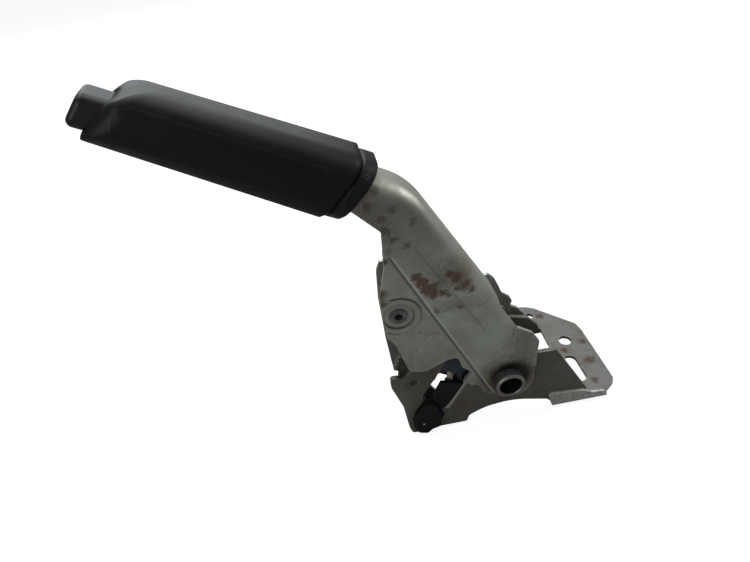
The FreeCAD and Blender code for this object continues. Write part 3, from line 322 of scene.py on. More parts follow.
def build_patch():
    """A ragged patch round a place on the part."""
    group, start, end = new_group("ragged_patch", [
        ("Vector", "NodeSocketVector", None), ("Centre", "NodeSocketVector", (0, 0, 0)),
        ("Stretch", "NodeSocketVector", (1, 1, 1)), ("Radius", "NodeSocketFloat", 0.01),
        ("Ragged", "NodeSocketFloat", 0.8), ("Edge", "NodeSocketFloat", 0.35)],
        [("Mask", "NodeSocketFloat")])
    away = vector_maths(group, "SUBTRACT", start.outputs["Vector"], start.outputs["Centre"])
    away = vector_maths(group, "MULTIPLY", away, start.outputs["Stretch"])
    reach = put(group, "ShaderNodeVectorMath", operation="LENGTH", feed={0: away}).outputs["Value"]
    share = maths(group, "DIVIDE", reach, start.outputs["Radius"])
    broad = noise(group, start.outputs["Vector"], 380.0, 5.0, 0.7, 0.5)
    fine = noise(group, start.outputs["Vector"], 900.0, 5.0, 0.75)
    rag = minus(group, plus(group, times(group, broad, 0.55), times(group, fine, 0.45)), 0.5)
    share = plus(group, share, times(group, rag, times(group, start.outputs["Ragged"], 3.0)))
    inner = minus(group, 1.0, start.outputs["Edge"])
    node = put(group, "ShaderNodeMapRange", interpolation_type="SMOOTHSTEP",
               feed={0: share, 1: inner, 2: 1.0, 3: 1.0, 4: 0.0})
    group.links.new(node.outputs[0], end.inputs["Mask"])
    return group


def build_grain():
    """Fine grain as a height."""
    group, start, end = new_group("fine_grain", [("Vector", "NodeSocketVector", None),
                                                 ("Size", "NodeSocketFloat", 0.001)],
                                  [("Height", "NodeSocketFloat")])
    scale = maths(group, "DIVIDE", 1.0, start.outputs["Size"])
    soft = noise(group, start.outputs["Vector"], scale, 3.0, 0.6)
    cell = put(group, "ShaderNodeTexVoronoi", feature="SMOOTH_F1",
               feed={"Vector": start.outputs["Vector"], "Scale": scale, "Smoothness": 0.6})
    cell = cell.outputs["Distance"]
    both = plus(group, times(group, soft, 0.6), times(group, cell, 0.4))
    group.links.new(both, end.inputs["Height"])
    return group


def build_edge_wear():
    """Rubbed edges: where the rounded and the true surface part, broken by noise."""
    group, start, end = new_group("edge_wear", [("Vector", "NodeSocketVector", None),
                                                ("Width", "NodeSocketFloat", 0.0008),
                                                ("Amount", "NodeSocketFloat", 0.5)],
                                  [("Mask", "NodeSocketFloat")])
    rounded = put(group, "ShaderNodeBevel", samples=4, feed={"Radius": start.outputs["Width"]})
    rounded = rounded.outputs[0]
    true = put(group, "ShaderNodeNewGeometry").outputs["Normal"]
    match = vector_maths(group, "DOT_PRODUCT", rounded, true, "Value")
    edge = smooth_range(group, minus(group, 1.0, match), 0.02, 0.22)
    broken = smooth_range(group, noise(group, start.outputs["Vector"], 260.0, 5.0, 0.65), 0.36, 0.6)
    mask = times(group, times(group, edge, broken), start.outputs["Amount"], clamp=True)
    group.links.new(mask, end.inputs["Mask"])
    return group


def build_line():
    """A pressed line between two places: 1 on the line, falling to 0 at its width."""
    group, start, end = new_group("pressed_line", [
        ("Vector", "NodeSocketVector", None), ("Start", "NodeSocketVector", (0, 0, 0)),
        ("Run", "NodeSocketVector", (0, 0, 0.01)), ("Width", "NodeSocketFloat", 0.001)],
        [("Mask", "NodeSocketFloat")])
    away = vector_maths(group, "SUBTRACT", start.outputs["Vector"], start.outputs["Start"])
    flat = vector_maths(group, "MULTIPLY", away, (1, 0, 1))
    dot = vector_maths(group, "DOT_PRODUCT", flat, start.outputs["Run"], "Value")
    size = vector_maths(group, "DOT_PRODUCT", start.outputs["Run"], start.outputs["Run"], "Value")
    share = maths(group, "DIVIDE", dot, size, clamp=True)
    on_line = put(group, "ShaderNodeVectorMath", operation="SCALE",
                  feed={0: start.outputs["Run"], "Scale": share}).outputs[0]
    gap = vector_maths(group, "DISTANCE", flat, on_line, "Value")
    node = put(group, "ShaderNodeMapRange", interpolation_type="SMOOTHSTEP",
               feed={0: gap, 1: 0.0, 2: start.outputs["Width"], 3: 1.0, 4: 0.0})
    group.links.new(node.outputs[0], end.inputs["Mask"])
    return group


def groups():
    """The shared shader groups, each built once."""
    makers = {"stain_mottle": build_mottle, "ragged_patch": build_patch, "fine_grain": build_grain,
              "edge_wear": build_edge_wear, "pressed_line": build_line}
    return {name: bpy.data.node_groups.get(name) or make() for name, make in makers.items()}


def use(tree, name, **feed):
    """Places a shared group and fills its inputs by name."""
    named = {key.replace("_", " ").title(): value for key, value in feed.items()}
    return put(tree, "ShaderNodeGroup", node_tree=groups()[name], feed=named).outputs[0]


def new_finish(name, metallic=0.0, specular=0.5):
    """A material with its shader and its object coordinates."""
    material = bpy.data.materials.new(name)
    material.use_nodes = True
    tree = material.node_tree
    shader = tree.nodes["Principled BSDF"]
    shader.inputs["Metallic"].default_value = metallic
    shader.inputs["Specular IOR Level"].default_value = specular
    place = tree.nodes.new("ShaderNodeTexCoord").outputs["Object"]
    return material, tree, shader, place


def set_finish(tree, shader, colour, rough, height=None, strength=0.3, distance=0.0004,
               metallic=None, soft=0.0):
    """Links colour, roughness and bump into the shader; soft eases the shading of creases."""
    tree.links.new(colour, shader.inputs["Base Color"])
    if isinstance(rough, bpy.types.NodeSocket):
        tree.links.new(rough, shader.inputs["Roughness"])
    else:
        shader.inputs["Roughness"].default_value = rough
    if metallic is not None:
        tree.links.new(metallic, shader.inputs["Metallic"])
    if height is not None:
        bump = put(tree, "ShaderNodeBump", feed={
            "Strength": strength, "Distance": distance, "Height": height})
        if soft > 0.0:
            eased = put(tree, "ShaderNodeBevel", samples=6, feed={"Radius": soft}).outputs[0]
            tree.links.new(eased, bump.inputs["Normal"])
        tree.links.new(bump.outputs[0], shader.inputs["Normal"])


def highest(tree, masks):
    total = masks[0]
    for mask in masks[1:]:
        total = maths(tree, "MAXIMUM", total, mask)
    return total


def patches(tree, place, spots):
    """Ragged patches at (x, y, z, radius, ragged, edge), in millimetres; joined into one mask."""
    masks = []
    for x, y, z, radius, ragged, edge in spots:
        masks.append(use(tree, "ragged_patch", vector=place, centre=(x / 1000, y / 1000, z / 1000),
                         radius=radius / 1000, ragged=ragged, edge=edge))
    return highest(tree, masks)


def dress(names, material):
    """Gives CAD nodes their finish."""
    for name in names:
        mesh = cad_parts[name].data
        mesh.materials.clear()
        mesh.materials.append(material)


# Ragged spots: x, y, z, radius in millimetres, then raggedness and softness of the edge
LEVER_RUST = [
    (-51.5, -13.0, 90.5, 3.6, 0.8, 0.5), (-49.0, -13.0, 86.5, 4.6, 0.7, 0.5),
    (-46.5, -13.0, 81.5, 5.0, 0.6, 0.5), (-43.5, -13.0, 77.5, 4.2, 0.7, 0.5),
    (-38.5, -13.0, 77.5, 3.8, 0.9, 0.7), (-42.0, -13.0, 83.0, 4.6, 1.0, 0.8),
    (-34.5, -13.0, 89.0, 3.6, 0.9, 0.7), (-31.0, -13.0, 85.5, 5.6, 0.8, 0.8),
    (-26.5, -13.0, 80.0, 5.6, 0.8, 0.8), (-22.5, -13.0, 76.0, 3.8, 1.0, 0.9),
    (-31.0, -13.0, 79.0, 3.6, 1.1, 0.9), (-70.3, -11.0, 81.6, 4.2, 0.8, 0.6),
    (-69.5, -11.0, 75.5, 2.8, 0.8, 0.6), (-66.8, -11.0, 102.0, 3.0, 1.0, 0.7),
    (-64.5, -11.5, 109.5, 3.0, 1.0, 0.7),
]

LEVER_GRIME = [
    (-76.5, -13.0, 141.0, 3.6, 1.3, 0.9), (-71.8, -13.0, 134.8, 4.6, 1.3, 0.9),
    (-64.4, -13.0, 120.3, 4.0, 1.3, 0.8), (-60.6, -13.0, 132.1, 3.6, 1.3, 0.9),
    (-61.5, -13.0, 115.2, 3.0, 1.2, 0.8), (-55.1, -13.0, 110.4, 3.0, 1.3, 0.8),
    (-51.4, -13.0, 123.2, 3.4, 1.3, 0.9), (-67.0, -13.0, 143.0, 4.2, 1.3, 0.9),
    (-66.0, -13.0, 127.5, 3.4, 1.3, 0.9), (-35.0, -13.0, 75.0, 1.8, 0.6, 0.5),
    (-41.9, -13.0, 65.5, 3.0, 1.2, 0.9), (-29.0, -13.0, 66.0, 3.4, 1.3, 0.9),
]

BASE_SPOTS = [
    (-45.0, -8.6, 14.0, 9.0, 0.8, 0.9), (-28.0, -8.6, -20.0, 9.0, 0.8, 0.9),
    (2.0, -8.6, -20.0, 10.0, 0.9, 0.9), (-60.0, -8.6, 6.0, 5.0, 0.8, 0.8),
]

FLANGE_RUST = [
    (57.0, 72.0, -36.0, 4.5, 1.0, 0.7), (50.0, 66.0, -36.0, 3.2, 1.0, 0.7),
    (76.0, 38.0, -36.0, 4.4, 1.0, 0.7), (73.0, 20.0, -36.0, 6.0, 1.0, 0.8),
    (68.0, 2.0, -36.0, 4.5, 1.0, 0.8), (60.0, 33.0, -36.0, 4.0, 1.0, 0.8),
]

# Broad marks and pressed lines on the steel, in metres; the lines carry painted shade and painted
# highlights; a run goes from a line's start to its end
WELD_BAND = dict(centre=(-0.030, -0.013, 0.068), stretch=(0.5, 1.0, 1.5),
                 radius=0.0105, ragged=0.55, edge=0.7)
NECK_FILM = dict(centre=(-0.070, -0.013, 0.130), stretch=(1.2, 0.4, 0.8),
                 radius=0.024, ragged=0.5, edge=0.9)
PIVOT_FILM = dict(centre=(0.008, -0.013, 0.030), stretch=(1.3, 0.4, 0.7),
                  radius=0.022, ragged=0.6, edge=0.9)
WALL_FILM = dict(centre=(-0.030, -0.013, 0.088), stretch=(0.8, 0.4, 1.3),
                 radius=0.022, ragged=0.6, edge=0.9)
HEAT_HALO = dict(centre=(0, -0.013, 0), stretch=(1, 0.3, 1),
                 radius=0.0265, ragged=0.35, edge=0.7)
SCORCH = dict(centre=(0.002, -0.013, 0.002), stretch=(1, 0.3, 1),
              radius=0.0165, ragged=0.14, edge=0.45)
BASE_RUB = dict(centre=(-0.066, -0.0086, -0.012), stretch=(1.5, 1, 0.5),
                radius=0.014, ragged=0.4, edge=0.8)
STEP_SHADE_LINE = dict(start=(-0.0105, 0, -0.0100), run=(-0.0542, 0, 0.1146), width=0.0011)
STEP_HIGHLIGHT_LINE = dict(start=(-0.0088, 0, -0.0092), run=(-0.0540, 0, 0.1140), width=0.0009)
LONG_CREASE = dict(start=(-0.0514, 0, 0.1079), run=(0.0361, 0, -0.0627), width=0.0009)
SHORT_CREASE = dict(start=(-0.0193, 0, 0.0634), run=(0.0080, 0, 0.0033), width=0.0008)
FRONT_CREASE = dict(start=(-0.0460, 0, 0.0600), run=(0.0160, 0, 0.0090), width=0.0007)
FOLD_HIGHLIGHT_LINE = dict(start=(-0.0368, 0, -0.0205), run=(0.0150, 0, 0.0268), width=0.0026)


class LEVER_OT_steel(bpy.types.Operator):
    """Finish the pressed lever: grey coat, stains, rust patches and the scorch round the tube"""
    bl_idname = "lever.steel"
    bl_label = "Lever Steel"

    def execute(self, context):
        kit = context.scene.lever_steel
        material, tree, shader, place = new_finish("lever_coat", metallic=0.55, specular=0.45)
        mottle = use(tree, "stain_mottle", vector=place, size=0.03)
        fine = use(tree, "stain_mottle", vector=place, size=0.008)
        colour = tint(tree, kit.lever_colour, mottle, 0.55, kit.lever_stain)
        colour = tint(tree, colour, fine, 0.22, GREY_FLECK)
        # Painted shade: the lever darkens towards its bottom
        low = smooth_range(tree, split(tree, place)[2], 0.075, -0.015)
        colour = tint(tree, colour, low, 0.25, LOW_PAINTED_SHADE)
        parts = split(tree, place)
        neck = times(tree, smooth_range(tree, parts[2], 0.085, 0.125),
                     smooth_range(tree, parts[1], -0.0095, -0.0125))
        colour = tint(tree, colour, neck, 0.55, NECK_SHADE)
        web = smooth_range(tree, parts[1], -0.0125, -0.0085)
        high = smooth_range(tree, parts[2], 0.135, 0.105)
        colour = tint(tree, colour, times(tree, web, high), 0.3, WEB_SHADE)
        band = use(tree, "ragged_patch", vector=place, **WELD_BAND)
        colour = tint(tree, colour, band, 0.5, BAND_STAIN)
        film = highest(tree, [
            use(tree, "ragged_patch", vector=place, **NECK_FILM),
            use(tree, "ragged_patch", vector=place, **PIVOT_FILM),
            use(tree, "ragged_patch", vector=place, **WALL_FILM)])
        colour = tint(tree, colour, film, 0.5, BROWN_FILM)
        grime = patches(tree, place, LEVER_GRIME)
        colour = tint(tree, colour, grime, 0.8, DARK_GRIME)
        rust = patches(tree, place, LEVER_RUST)
        colour = tint(tree, colour, rust, 0.9, kit.rust_colour)
        halo = use(tree, "ragged_patch", vector=place, **HEAT_HALO)
        colour = tint(tree, colour, halo, 0.85, HALO_BROWN)
        scorch = use(tree, "ragged_patch", vector=place, **SCORCH)
        colour = tint(tree, colour, scorch, 0.93, kit.scorch_colour)
        # Rubbed edges, made broad and bright so they also stand in as painted highlights on the
        # edges
        worn = use(tree, "edge_wear", vector=place, width=0.0008, amount=kit.wear)
        colour = mix_colour(tree, worn, colour, LEVER_WEAR_AND_HIGHLIGHT)
        # Painted shade and painted highlight: a dark and a bright line along the pressed step
        step_shade = use(tree, "pressed_line", vector=place, **STEP_SHADE_LINE)
        step_highlight = use(tree, "pressed_line", vector=place, **STEP_HIGHLIGHT_LINE)
        colour = tint(tree, colour, step_shade, 0.75, STEP_SHADE)
        colour = tint(tree, colour, step_highlight, 0.55, STEP_HIGHLIGHT)
        flat = put(tree, "ShaderNodeCombineXYZ", feed={0: parts[0], 2: parts[2]}).outputs[0]
        reach = vector_maths(tree, "DISTANCE", flat, PAWL_PIN_PLACE, "Value")
        rings = []
        for radius, width in PAD_RINGS:
            off = maths(tree, "ABSOLUTE", minus(tree, reach, radius))
            rings.append(smooth_range(tree, off, 0.0, width, 1.0, 0.0))
        rings = highest(tree, rings)
        near = smooth_range(tree, parts[1], -0.0095, -0.0105)
        colour = tint(tree, colour, times(tree, rings, near), 0.7, RING_SHADE)
        creases = highest(tree, [
            use(tree, "pressed_line", vector=place, **LONG_CREASE),
            use(tree, "pressed_line", vector=place, **SHORT_CREASE),
            use(tree, "pressed_line", vector=place, **FRONT_CREASE)])
        colour = tint(tree, colour, creases, 0.35, CREASE_SHADE)
        pits = smooth_range(tree, noise(tree, place, 420.0, 2.0, 0.5), 0.74, 0.79)
        colour = tint(tree, colour, pits, 0.75, PIT_SHADE)
        grain = use(tree, "fine_grain", vector=place, size=kit.grain)
        height = minus(tree, times(tree, grain, 0.35), times(tree, creases, 0.9))
        height = plus(tree, height, times(tree, rust, 0.5))
        rough = plus(tree, 0.33, times(tree, maths(tree, "MAXIMUM", rust, film), 0.35))
        rough = plus(tree, rough, times(tree, mottle, 0.14))
        rough = minus(tree, rough, times(tree, scorch, 0.12))
        bare = times(tree, minus(tree, 1.0, maths(tree, "MAXIMUM", rust, grime)), 0.72)
        set_finish(tree, shader, colour, rough, height, 0.35, 0.0005, bare)
        dress(["lever_arm"], material)
        return {"FINISHED"}


class LEVER_OT_base(bpy.types.Operator):
    """Finish the ratchet base: dark brown-grey coat with worn edges and a painted highlight along
    the fold
    """
    bl_idname = "lever.base"
    bl_label = "Ratchet Base"

    def execute(self, context):
        kit = context.scene.lever_steel
        material, tree, shader, place = new_finish("base_coat", metallic=0.4, specular=0.4)
        mottle = use(tree, "stain_mottle", vector=place, size=0.02)
        fine = use(tree, "stain_mottle", vector=place, size=0.004)
        colour = tint(tree, kit.base_colour, mottle, 0.6, BASE_STAIN)
        colour = tint(tree, colour, fine, 0.3, BASE_FLECK)
        pale = use(tree, "ragged_patch", vector=place, **BASE_RUB)
        colour = tint(tree, colour, pale, 0.55, BASE_PALE)
        spots = patches(tree, place, BASE_SPOTS)
        colour = tint(tree, colour, spots, 0.45, BASE_BROWN)
        # Painted highlight: a pale line along the fold
        fold_highlight = use(tree, "pressed_line", vector=place, **FOLD_HIGHLIGHT_LINE)
        colour = tint(tree, colour, fold_highlight, 0.6, FOLD_HIGHLIGHT)
        worn = use(tree, "edge_wear", vector=place, width=0.0008, amount=kit.wear)
        colour = mix_colour(tree, worn, colour, BASE_WORN)
        grain = use(tree, "fine_grain", vector=place, size=kit.grain)
        rough = plus(tree, 0.45, times(tree, mottle, 0.2))
        set_finish(tree, shader, colour, rough, grain, 0.22, 0.0004)
        dress(["base_near_cheek", "base_far_cheek"], material)
        return {"FINISHED"}


class LEVER_OT_flange(bpy.types.Operator):
    """Finish the bolting flange: paler coat with rust spots and bright bolt-hole rims"""
    bl_idname = "lever.flange"
    bl_label = "Bolting Flange"

    def execute(self, context):
        kit = context.scene.lever_steel
        material, tree, shader, place = new_finish("flange_coat", metallic=0.5, specular=0.45)
        mottle = use(tree, "stain_mottle", vector=place, size=0.014)
        colour = tint(tree, kit.flange_colour, mottle, 0.6, FLANGE_STAIN)
        rust = patches(tree, place, FLANGE_RUST)
        speck = smooth_range(tree, noise(tree, place, 210.0, 4.0, 0.7), 0.60, 0.68)
        rust = maths(tree, "MAXIMUM", rust, times(tree, speck, 0.7))
        colour = tint(tree, colour, rust, 0.75, FLANGE_BROWN)
        side = split(tree, place)[1]
        lip = smooth_range(tree, side, -0.0093, -0.0098)
        gravel = use(tree, "stain_mottle", vector=place, size=0.0015)
        lip_tone = mix_colour(tree, gravel, LIP_LIGHT, LIP_DARK)
        colour = tint(tree, colour, lip, 0.85, lip_tone)
        worn = use(tree, "edge_wear", vector=place, width=0.0008, amount=kit.wear)
        colour = mix_colour(tree, worn, colour, FLANGE_WORN)
        grain = use(tree, "fine_grain", vector=place, size=kit.grain)
        rough = plus(tree, 0.42, times(tree, rust, 0.4))
        set_finish(tree, shader, colour, rough, grain, 0.28, 0.0004)
        dress(["rear_flange"], material)
        return {"FINISHED"}


class LEVER_OT_bright(bpy.types.Operator):
    """Finish the turned, hardened and drawn steel: tube, pins, sector, pawl, rod and springs"""
    bl_idname = "lever.bright"
    bl_label = "Bright Steel"

    def turned(self, name):
        """A steel with faint stains and rubbed edges, by its name in the table."""
        colour, dark, rough_value, amount = TURNED_STEELS[name]
        material, tree, shader, place = new_finish(name, metallic=0.85, specular=0.5)
        mottle = use(tree, "stain_mottle", vector=place, size=0.006)
        shade = tint(tree, colour, mottle, amount, dark)
        worn = use(tree, "edge_wear", vector=place, width=0.0004, amount=0.5)
        shade = mix_colour(tree, worn, shade, TURNED_WORN)
        grain = use(tree, "fine_grain", vector=place, size=0.0006)
        rough = plus(tree, rough_value, times(tree, mottle, 0.2))
        set_finish(tree, shader, shade, rough, grain, 0.12, 0.0002)
        return material

    def execute(self, context):
        kit = context.scene.lever_steel
        dress(["pivot_tube"], self.tube(kit))
        dress(["pawl_pin"], self.turned("pin_steel"))
        hard = self.turned("hardened_steel")
        dress(["toothed_sector", "pawl", "sector_rivets", "rivet_spacers"], hard)
        drawn = self.turned("drawn_wire")
        dress(["button_rod", "button_spring", "pawl_spring", "pawl_spacer"], drawn)
        dress(["cable_guide"], self.turned("zinc_steel"))
        return {"FINISHED"}

    def tube(self, kit):
        """Bright rim, dark scorched shank and a bore painted near-black as shade."""
        material, tree, shader, place = new_finish("tube_steel", metallic=0.7, specular=0.5)
        across = split(tree, place)
        radius = put(tree, "ShaderNodeVectorMath", operation="LENGTH", feed={
            0: vector_maths(tree, "MULTIPLY", place, (1, 0, 1))})
        bore = smooth_range(tree, radius.outputs["Value"], 0.0068, 0.0071, 1.0, 0.0)
        shank = smooth_range(tree, across[1], -0.0186, -0.0168)
        mottle = use(tree, "stain_mottle", vector=place, size=0.005)
        colour = tint(tree, kit.bright_colour, mottle, 0.35, TUBE_STAIN)
        colour = tint(tree, colour, shank, 0.85, TUBE_SHANK)
        # Painted shade: the bore is made near-black
        colour = tint(tree, colour, bore, 0.9, TUBE_BORE_SHADE)
        grain = use(tree, "fine_grain", vector=place, size=0.0007)
        rough = plus(tree, 0.3, times(tree, mottle, 0.2))
        set_finish(tree, shader, colour, rough, grain, 0.15, 0.0002)
        return material


def handle_place(tree, place):
    """Coordinates along and square to the handle."""
    turn = put(tree, "ShaderNodeMapping", vector_type="POINT", feed={"Vector": place})
    turn.inputs["Rotation"].default_value = Euler((0.0, -HANDLE_TILT, 0.0))
    return turn.outputs[0]


class LEVER_OT_grip(bpy.types.Operator):
    """Finish the grip, its collar and the button: soft black mouldings"""
    bl_idname = "lever.grip"
    bl_label = "Grip"

    def panel_edge(self, tree, spot, width):
        """The line round the side panel: a rounded box in the handle's own plane."""
        flat = vector_maths(tree, "SUBTRACT", spot, PANEL_CENTRE)
        parts = split(tree, flat)
        dx = minus(tree, maths(tree, "ABSOLUTE", parts[0]), PANEL_HALF_LENGTH)
        dz = minus(tree, maths(tree, "ABSOLUTE", parts[2]), PANEL_HALF_HEIGHT)
        out_x = maths(tree, "MAXIMUM", dx, 0.0)
        out_z = maths(tree, "MAXIMUM", dz, 0.0)
        reach = maths(tree, "SQRT", plus(tree, times(tree, out_x, out_x),
                                          times(tree, out_z, out_z)))
        gap = maths(tree, "ABSOLUTE", minus(tree, reach, PANEL_CORNER))
        return smooth_range(tree, gap, 0.0, width, 1.0, 0.0)

    def execute(self, context):
        kit = context.scene.lever_grip
        material, tree, shader, place = new_finish("grip_moulding", specular=0.24)
        spot = handle_place(tree, place)
        level = split(tree, spot)[2]
        pebble = use(tree, "fine_grain", vector=place, size=kit.pebble)
        belly = smooth_range(tree, level, 0.0815, 0.0765)
        mottle = use(tree, "stain_mottle", vector=place, size=0.02)
        dust = smooth_range(tree, noise(tree, place, 900.0, 5.0, 0.7), 0.48, 0.72)
        colour = tint(tree, kit.grip_colour, mottle, 0.3, GRIP_STAIN)
        colour = tint(tree, colour, times(tree, belly, dust), 0.6, GRIP_DUST)
        line = self.panel_edge(tree, spot, kit.panel_line)
        colour = tint(tree, colour, line, 0.35, PANEL_TONE)
        height = times(tree, pebble, plus(tree, 0.12, times(tree, belly, 0.6)))
        height = plus(tree, height, times(tree, line, 0.7))
        rough = plus(tree, 0.36, times(tree, belly, 0.2))
        rough = plus(tree, rough, times(tree, mottle, 0.06))
        set_finish(tree, shader, colour, rough, height, 0.4, 0.0003, soft=kit.soft_crease)
        dress(["grip"], material)
        self.collar(kit)
        self.button(kit)
        return {"FINISHED"}

    def collar(self, kit):
        material, tree, shader, place = new_finish("collar_moulding", specular=0.2)
        mottle = use(tree, "stain_mottle", vector=place, size=0.008)
        colour = tint(tree, kit.collar_colour, mottle, 0.4, COLLAR_STAIN)
        grain = use(tree, "fine_grain", vector=place, size=0.0009)
        rough = plus(tree, 0.38, times(tree, mottle, 0.12))
        mark = vector_maths(tree, "DISTANCE", place, COLLAR_MARK, "Value")
        ring = maths(tree, "ABSOLUTE", minus(tree, mark, COLLAR_MARK_RADIUS))
        ring = smooth_range(tree, ring, 0.0, 0.0005, 1.0, 0.0)
        spot = handle_place(tree, place)
        along = split(tree, spot)[0]
        seam = smooth_range(tree, maths(tree, "ABSOLUTE", minus(tree, along, kit.seam_place)), 0.0,
                            0.0006, 1.0, 0.0)
        pale = maths(tree, "MAXIMUM", ring, times(tree, seam, 0.5))
        colour = tint(tree, colour, pale, 0.7, COLLAR_PALE)
        height = plus(tree, times(tree, grain, 0.3), pale)
        set_finish(tree, shader, colour, rough, height, 0.2, 0.0003)
        dress(["grip_collar"], material)

    def button(self, kit):
        material, tree, shader, place = new_finish("button_moulding", specular=0.34)
        mottle = use(tree, "stain_mottle", vector=place, size=0.01)
        rubbed = use(tree, "edge_wear", vector=place, width=0.0009, amount=0.4)
        colour = tint(tree, kit.button_colour, mottle, 0.4, BUTTON_STAIN)
        colour = mix_colour(tree, rubbed, colour, BUTTON_RUBBED)
        grain = use(tree, "fine_grain", vector=place, size=0.0005)
        rough = plus(tree, 0.26, times(tree, mottle, 0.12))
        set_finish(tree, shader, colour, rough, grain, 0.08, 0.0002)
        dress(["release_button"], material)


class LEVER_OT_switch(bpy.types.Operator):
    """Finish the switch, its plate, plunger and terminals, with the small stud on the plug"""
    bl_idname = "lever.switch"
    bl_label = "Switch"

    def execute(self, context):
        kit = context.scene.lever_switch
        material, tree, shader, place = new_finish("switch_moulding", specular=0.25)
        mottle = use(tree, "stain_mottle", vector=place, size=0.009)
        colour = tint(tree, kit.housing_colour, mottle, 0.4, SWITCH_STAIN)
        grain = use(tree, "fine_grain", vector=place, size=0.0008)
        rough = plus(tree, 0.38, times(tree, mottle, 0.15))
        set_finish(tree, shader, colour, rough, grain, 0.12, 0.0003)
        dress(["switch_housing"], material)
        material, tree, shader, place = new_finish("plate_passivated", metallic=0.5)
        mottle = use(tree, "stain_mottle", vector=place, size=0.01)
        colour = tint(tree, kit.plate_colour, mottle, 0.5, PLATE_STAIN)
        grain = use(tree, "fine_grain", vector=place, size=0.0008)
        set_finish(tree, shader, colour, plus(tree, 0.36, times(tree, mottle, 0.2)), grain,
                   0.1, 0.0003)
        dress(["switch_bracket"], material)
        material, tree, shader, place = new_finish("bush_nylon", specular=0.5)
        mottle = use(tree, "stain_mottle", vector=place, size=0.005)
        colour = tint(tree, NYLON, mottle, 0.5, NYLON_STAIN)
        grain = use(tree, "fine_grain", vector=place, size=0.0006)
        set_finish(tree, shader, colour, plus(tree, 0.42, times(tree, mottle, 0.15)), grain,
                   0.1, 0.0002)
        dress(["near_pivot_bush", "far_pivot_bush", "rod_guide", "switch_plunger"], material)
        material, tree, shader, place = new_finish("terminal_tin", metallic=0.9)
        mottle = use(tree, "stain_mottle", vector=place, size=0.003)
        colour = tint(tree, TIN, mottle, 0.5, TIN_STAIN)
        grain = use(tree, "fine_grain", vector=place, size=0.0005)
        set_finish(tree, shader, colour, plus(tree, 0.25, times(tree, mottle, 0.2)), grain,
                   0.1, 0.0002)
        dress(["switch_terminals"], material)
        self.stud(kit)
        return {"FINISHED"}

    def stud(self, kit):
        """Small pale stud moulded on the plug's near face."""
        shape = bmesh.new()
        bmesh.ops.create_cone(shape, cap_ends=True, segments=20, radius1=kit.stud_radius,
                              radius2=kit.stud_radius * 0.8, depth=STUD_HEIGHT)
        rim = [edge for edge in shape.edges if all(v.co.z > 0 for v in edge.verts)]
        bmesh.ops.bevel(shape, geom=rim, affect="EDGES", offset=0.00015, segments=2,
                        profile=0.5, material=-1)
        bmesh.ops.rotate(shape, cent=Vector(), matrix=Matrix.Rotation(math.radians(90), 3, "X"),
                         verts=shape.verts)
        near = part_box("switch_housing")[0].y
        seat = Vector((STUD_X, near - STUD_SUNK, STUD_Z))
        bmesh.ops.translate(shape, vec=seat, verts=shape.verts)
        piece = mesh_piece("plug_stud", shape)
        material, tree, shader, place = new_finish("stud_pale", specular=0.5)
        mottle = use(tree, "stain_mottle", vector=place, size=0.001)
        colour = mix_colour(tree, mottle, STUD_PALE, STUD_DARK)
        grain = use(tree, "fine_grain", vector=place, size=0.0003)
        set_finish(tree, shader, colour, 0.4, grain, 0.1, 0.0001)
        piece.data.materials.append(material)
        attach(piece, "base")


def mesh_piece(name, shape, smooth=True):
    """Turns a finished bmesh into an object at the origin, normals outwards."""
    bmesh.ops.remove_doubles(shape, verts=shape.verts, dist=0.000001)
    bmesh.ops.recalc_face_normals(shape, faces=shape.faces)
    mesh = bpy.data.meshes.new(name)
    shape.to_mesh(mesh)
    shape.free()
    piece = bpy.data.objects.new(name, mesh)
    bpy.context.scene.collection.objects.link(piece)
    for face in mesh.polygons:
        face.use_smooth = smooth
    return piece


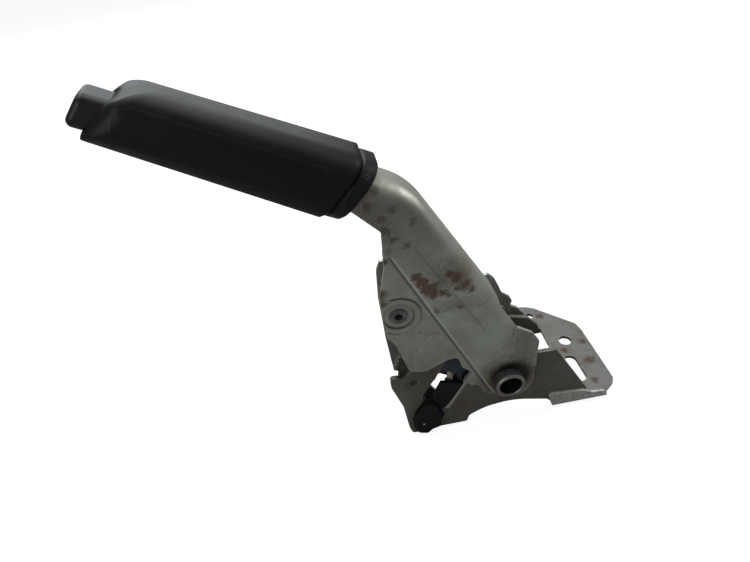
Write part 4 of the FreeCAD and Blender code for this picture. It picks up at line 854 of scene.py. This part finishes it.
class LEVER_OT_stage(bpy.types.Operator):
    """Set the floor, the soft light and the camera"""
    bl_idname = "lever.stage"
    bl_label = "Stage"

    def execute(self, context):
        kit = context.scene.lever_stage
        floor_level = CAD_BOX[0].z
        shape = bmesh.new()
        bmesh.ops.create_grid(shape, x_segments=1, y_segments=1, size=FLOOR_SIZE)
        bmesh.ops.translate(shape, vec=Vector((0, 0, floor_level)), verts=shape.verts)
        floor = mesh_piece("floor", shape, smooth=False)
        material, tree, shader, place = new_finish("floor_paper", specular=0.2)
        soft = noise(tree, place, 3.0, 2.0, 0.5)
        colour = tint(tree, kit.floor_colour, soft, 0.05, FLOOR_CLOUD)
        set_finish(tree, shader, colour, 0.8)
        seen = put(tree, "ShaderNodeLightPath").outputs["Is Camera Ray"]
        tree.links.new(times(tree, seen, kit.floor_glow), shader.inputs["Emission Strength"])
        shader.inputs["Emission Color"].default_value = (1.0, 1.0, 1.0, 1.0)
        floor.data.materials.append(material)
        for name, spot, width, setting, share, colour in LIGHTS:
            self.light(name, spot, width, getattr(kit, setting) * share, colour)
        world = bpy.data.worlds.new("studio")
        world.use_nodes = True
        back = world.node_tree.nodes["Background"]
        back.inputs["Color"].default_value = (1.0, 1.0, 1.0, 1.0)
        seen = put(world.node_tree, "ShaderNodeLightPath").outputs["Is Camera Ray"]
        strength = maths(world.node_tree, "MAXIMUM", seen, kit.sky)
        world.node_tree.links.new(strength, back.inputs["Strength"])
        context.scene.world = world
        context.scene.view_settings.view_transform = "Standard"
        self.camera(context)
        return {"FINISHED"}

    def light(self, name, place, size, power, colour):
        """A square soft light aimed at the middle of the lever."""
        data = bpy.data.lights.new(name, "AREA")
        data.shape = "SQUARE"
        data.size = size
        data.energy = power
        data.color = colour
        lamp = bpy.data.objects.new(name, data)
        aim = Vector(LIGHT_AIM) - Vector(place)
        lamp.rotation_euler = aim.to_track_quat("-Z", "Y").to_euler()
        lamp.location = place
        bpy.context.scene.collection.objects.link(lamp)

    def camera(self, context):
        data = bpy.data.cameras.new("camera")
        data.sensor_width = CAMERA_SENSOR
        data.sensor_fit = "HORIZONTAL"
        data.lens = CAMERA_LENS
        data.clip_start = 0.01
        data.clip_end = 50.0
        camera = bpy.data.objects.new("camera", data)
        turn = Matrix((CAMERA_RIGHT, CAMERA_UP, CAMERA_BACK)).transposed()
        camera.matrix_world = Matrix.Translation(CAMERA_PLACE) @ turn.to_4x4()
        context.scene.collection.objects.link(camera)
        context.scene.camera = camera


class LEVER_PT_looks(bpy.types.Panel):
    """Sizes, colours and steps of the lever's looks"""
    bl_label = "Handbrake Lever"
    bl_idname = "LEVER_PT_looks"
    bl_space_type = "VIEW_3D"
    bl_region_type = "UI"
    bl_category = "Lever"

    def draw(self, context):
        scene = context.scene
        for kit in (scene.lever_steel, scene.lever_grip, scene.lever_switch, scene.lever_stage):
            box = self.layout.box()
            for key in kit.bl_rna.properties.keys():
                if key not in ("rna_type", "name"):
                    box.prop(kit, key)
        for step in STEPS:
            self.layout.operator(step.bl_idname)


STEPS = (LEVER_OT_steel, LEVER_OT_base, LEVER_OT_flange, LEVER_OT_bright, LEVER_OT_grip,
         LEVER_OT_switch, LEVER_OT_stage)
SETTINGS = (LeverSteelSettings, GripSettings, SwitchSettings, StageSettings)
CLASSES = SETTINGS + STEPS + (LEVER_PT_looks,)


def register():
    for item in CLASSES:
        bpy.utils.register_class(item)
    bpy.types.Scene.lever_steel = PointerProperty(type=LeverSteelSettings)
    bpy.types.Scene.lever_grip = PointerProperty(type=GripSettings)
    bpy.types.Scene.lever_switch = PointerProperty(type=SwitchSettings)
    bpy.types.Scene.lever_stage = PointerProperty(type=StageSettings)


def unregister():
    for name in ("lever_stage", "lever_switch", "lever_grip", "lever_steel"):
        delattr(bpy.types.Scene, name)
    for item in reversed(CLASSES):
        bpy.utils.unregister_class(item)


def main():
    register()
    bpy.ops.lever.steel()
    bpy.ops.lever.base()
    bpy.ops.lever.flange()
    bpy.ops.lever.bright()
    bpy.ops.lever.grip()
    bpy.ops.lever.switch()
    bpy.ops.lever.stage()


if __name__ == "__main__":
    main()
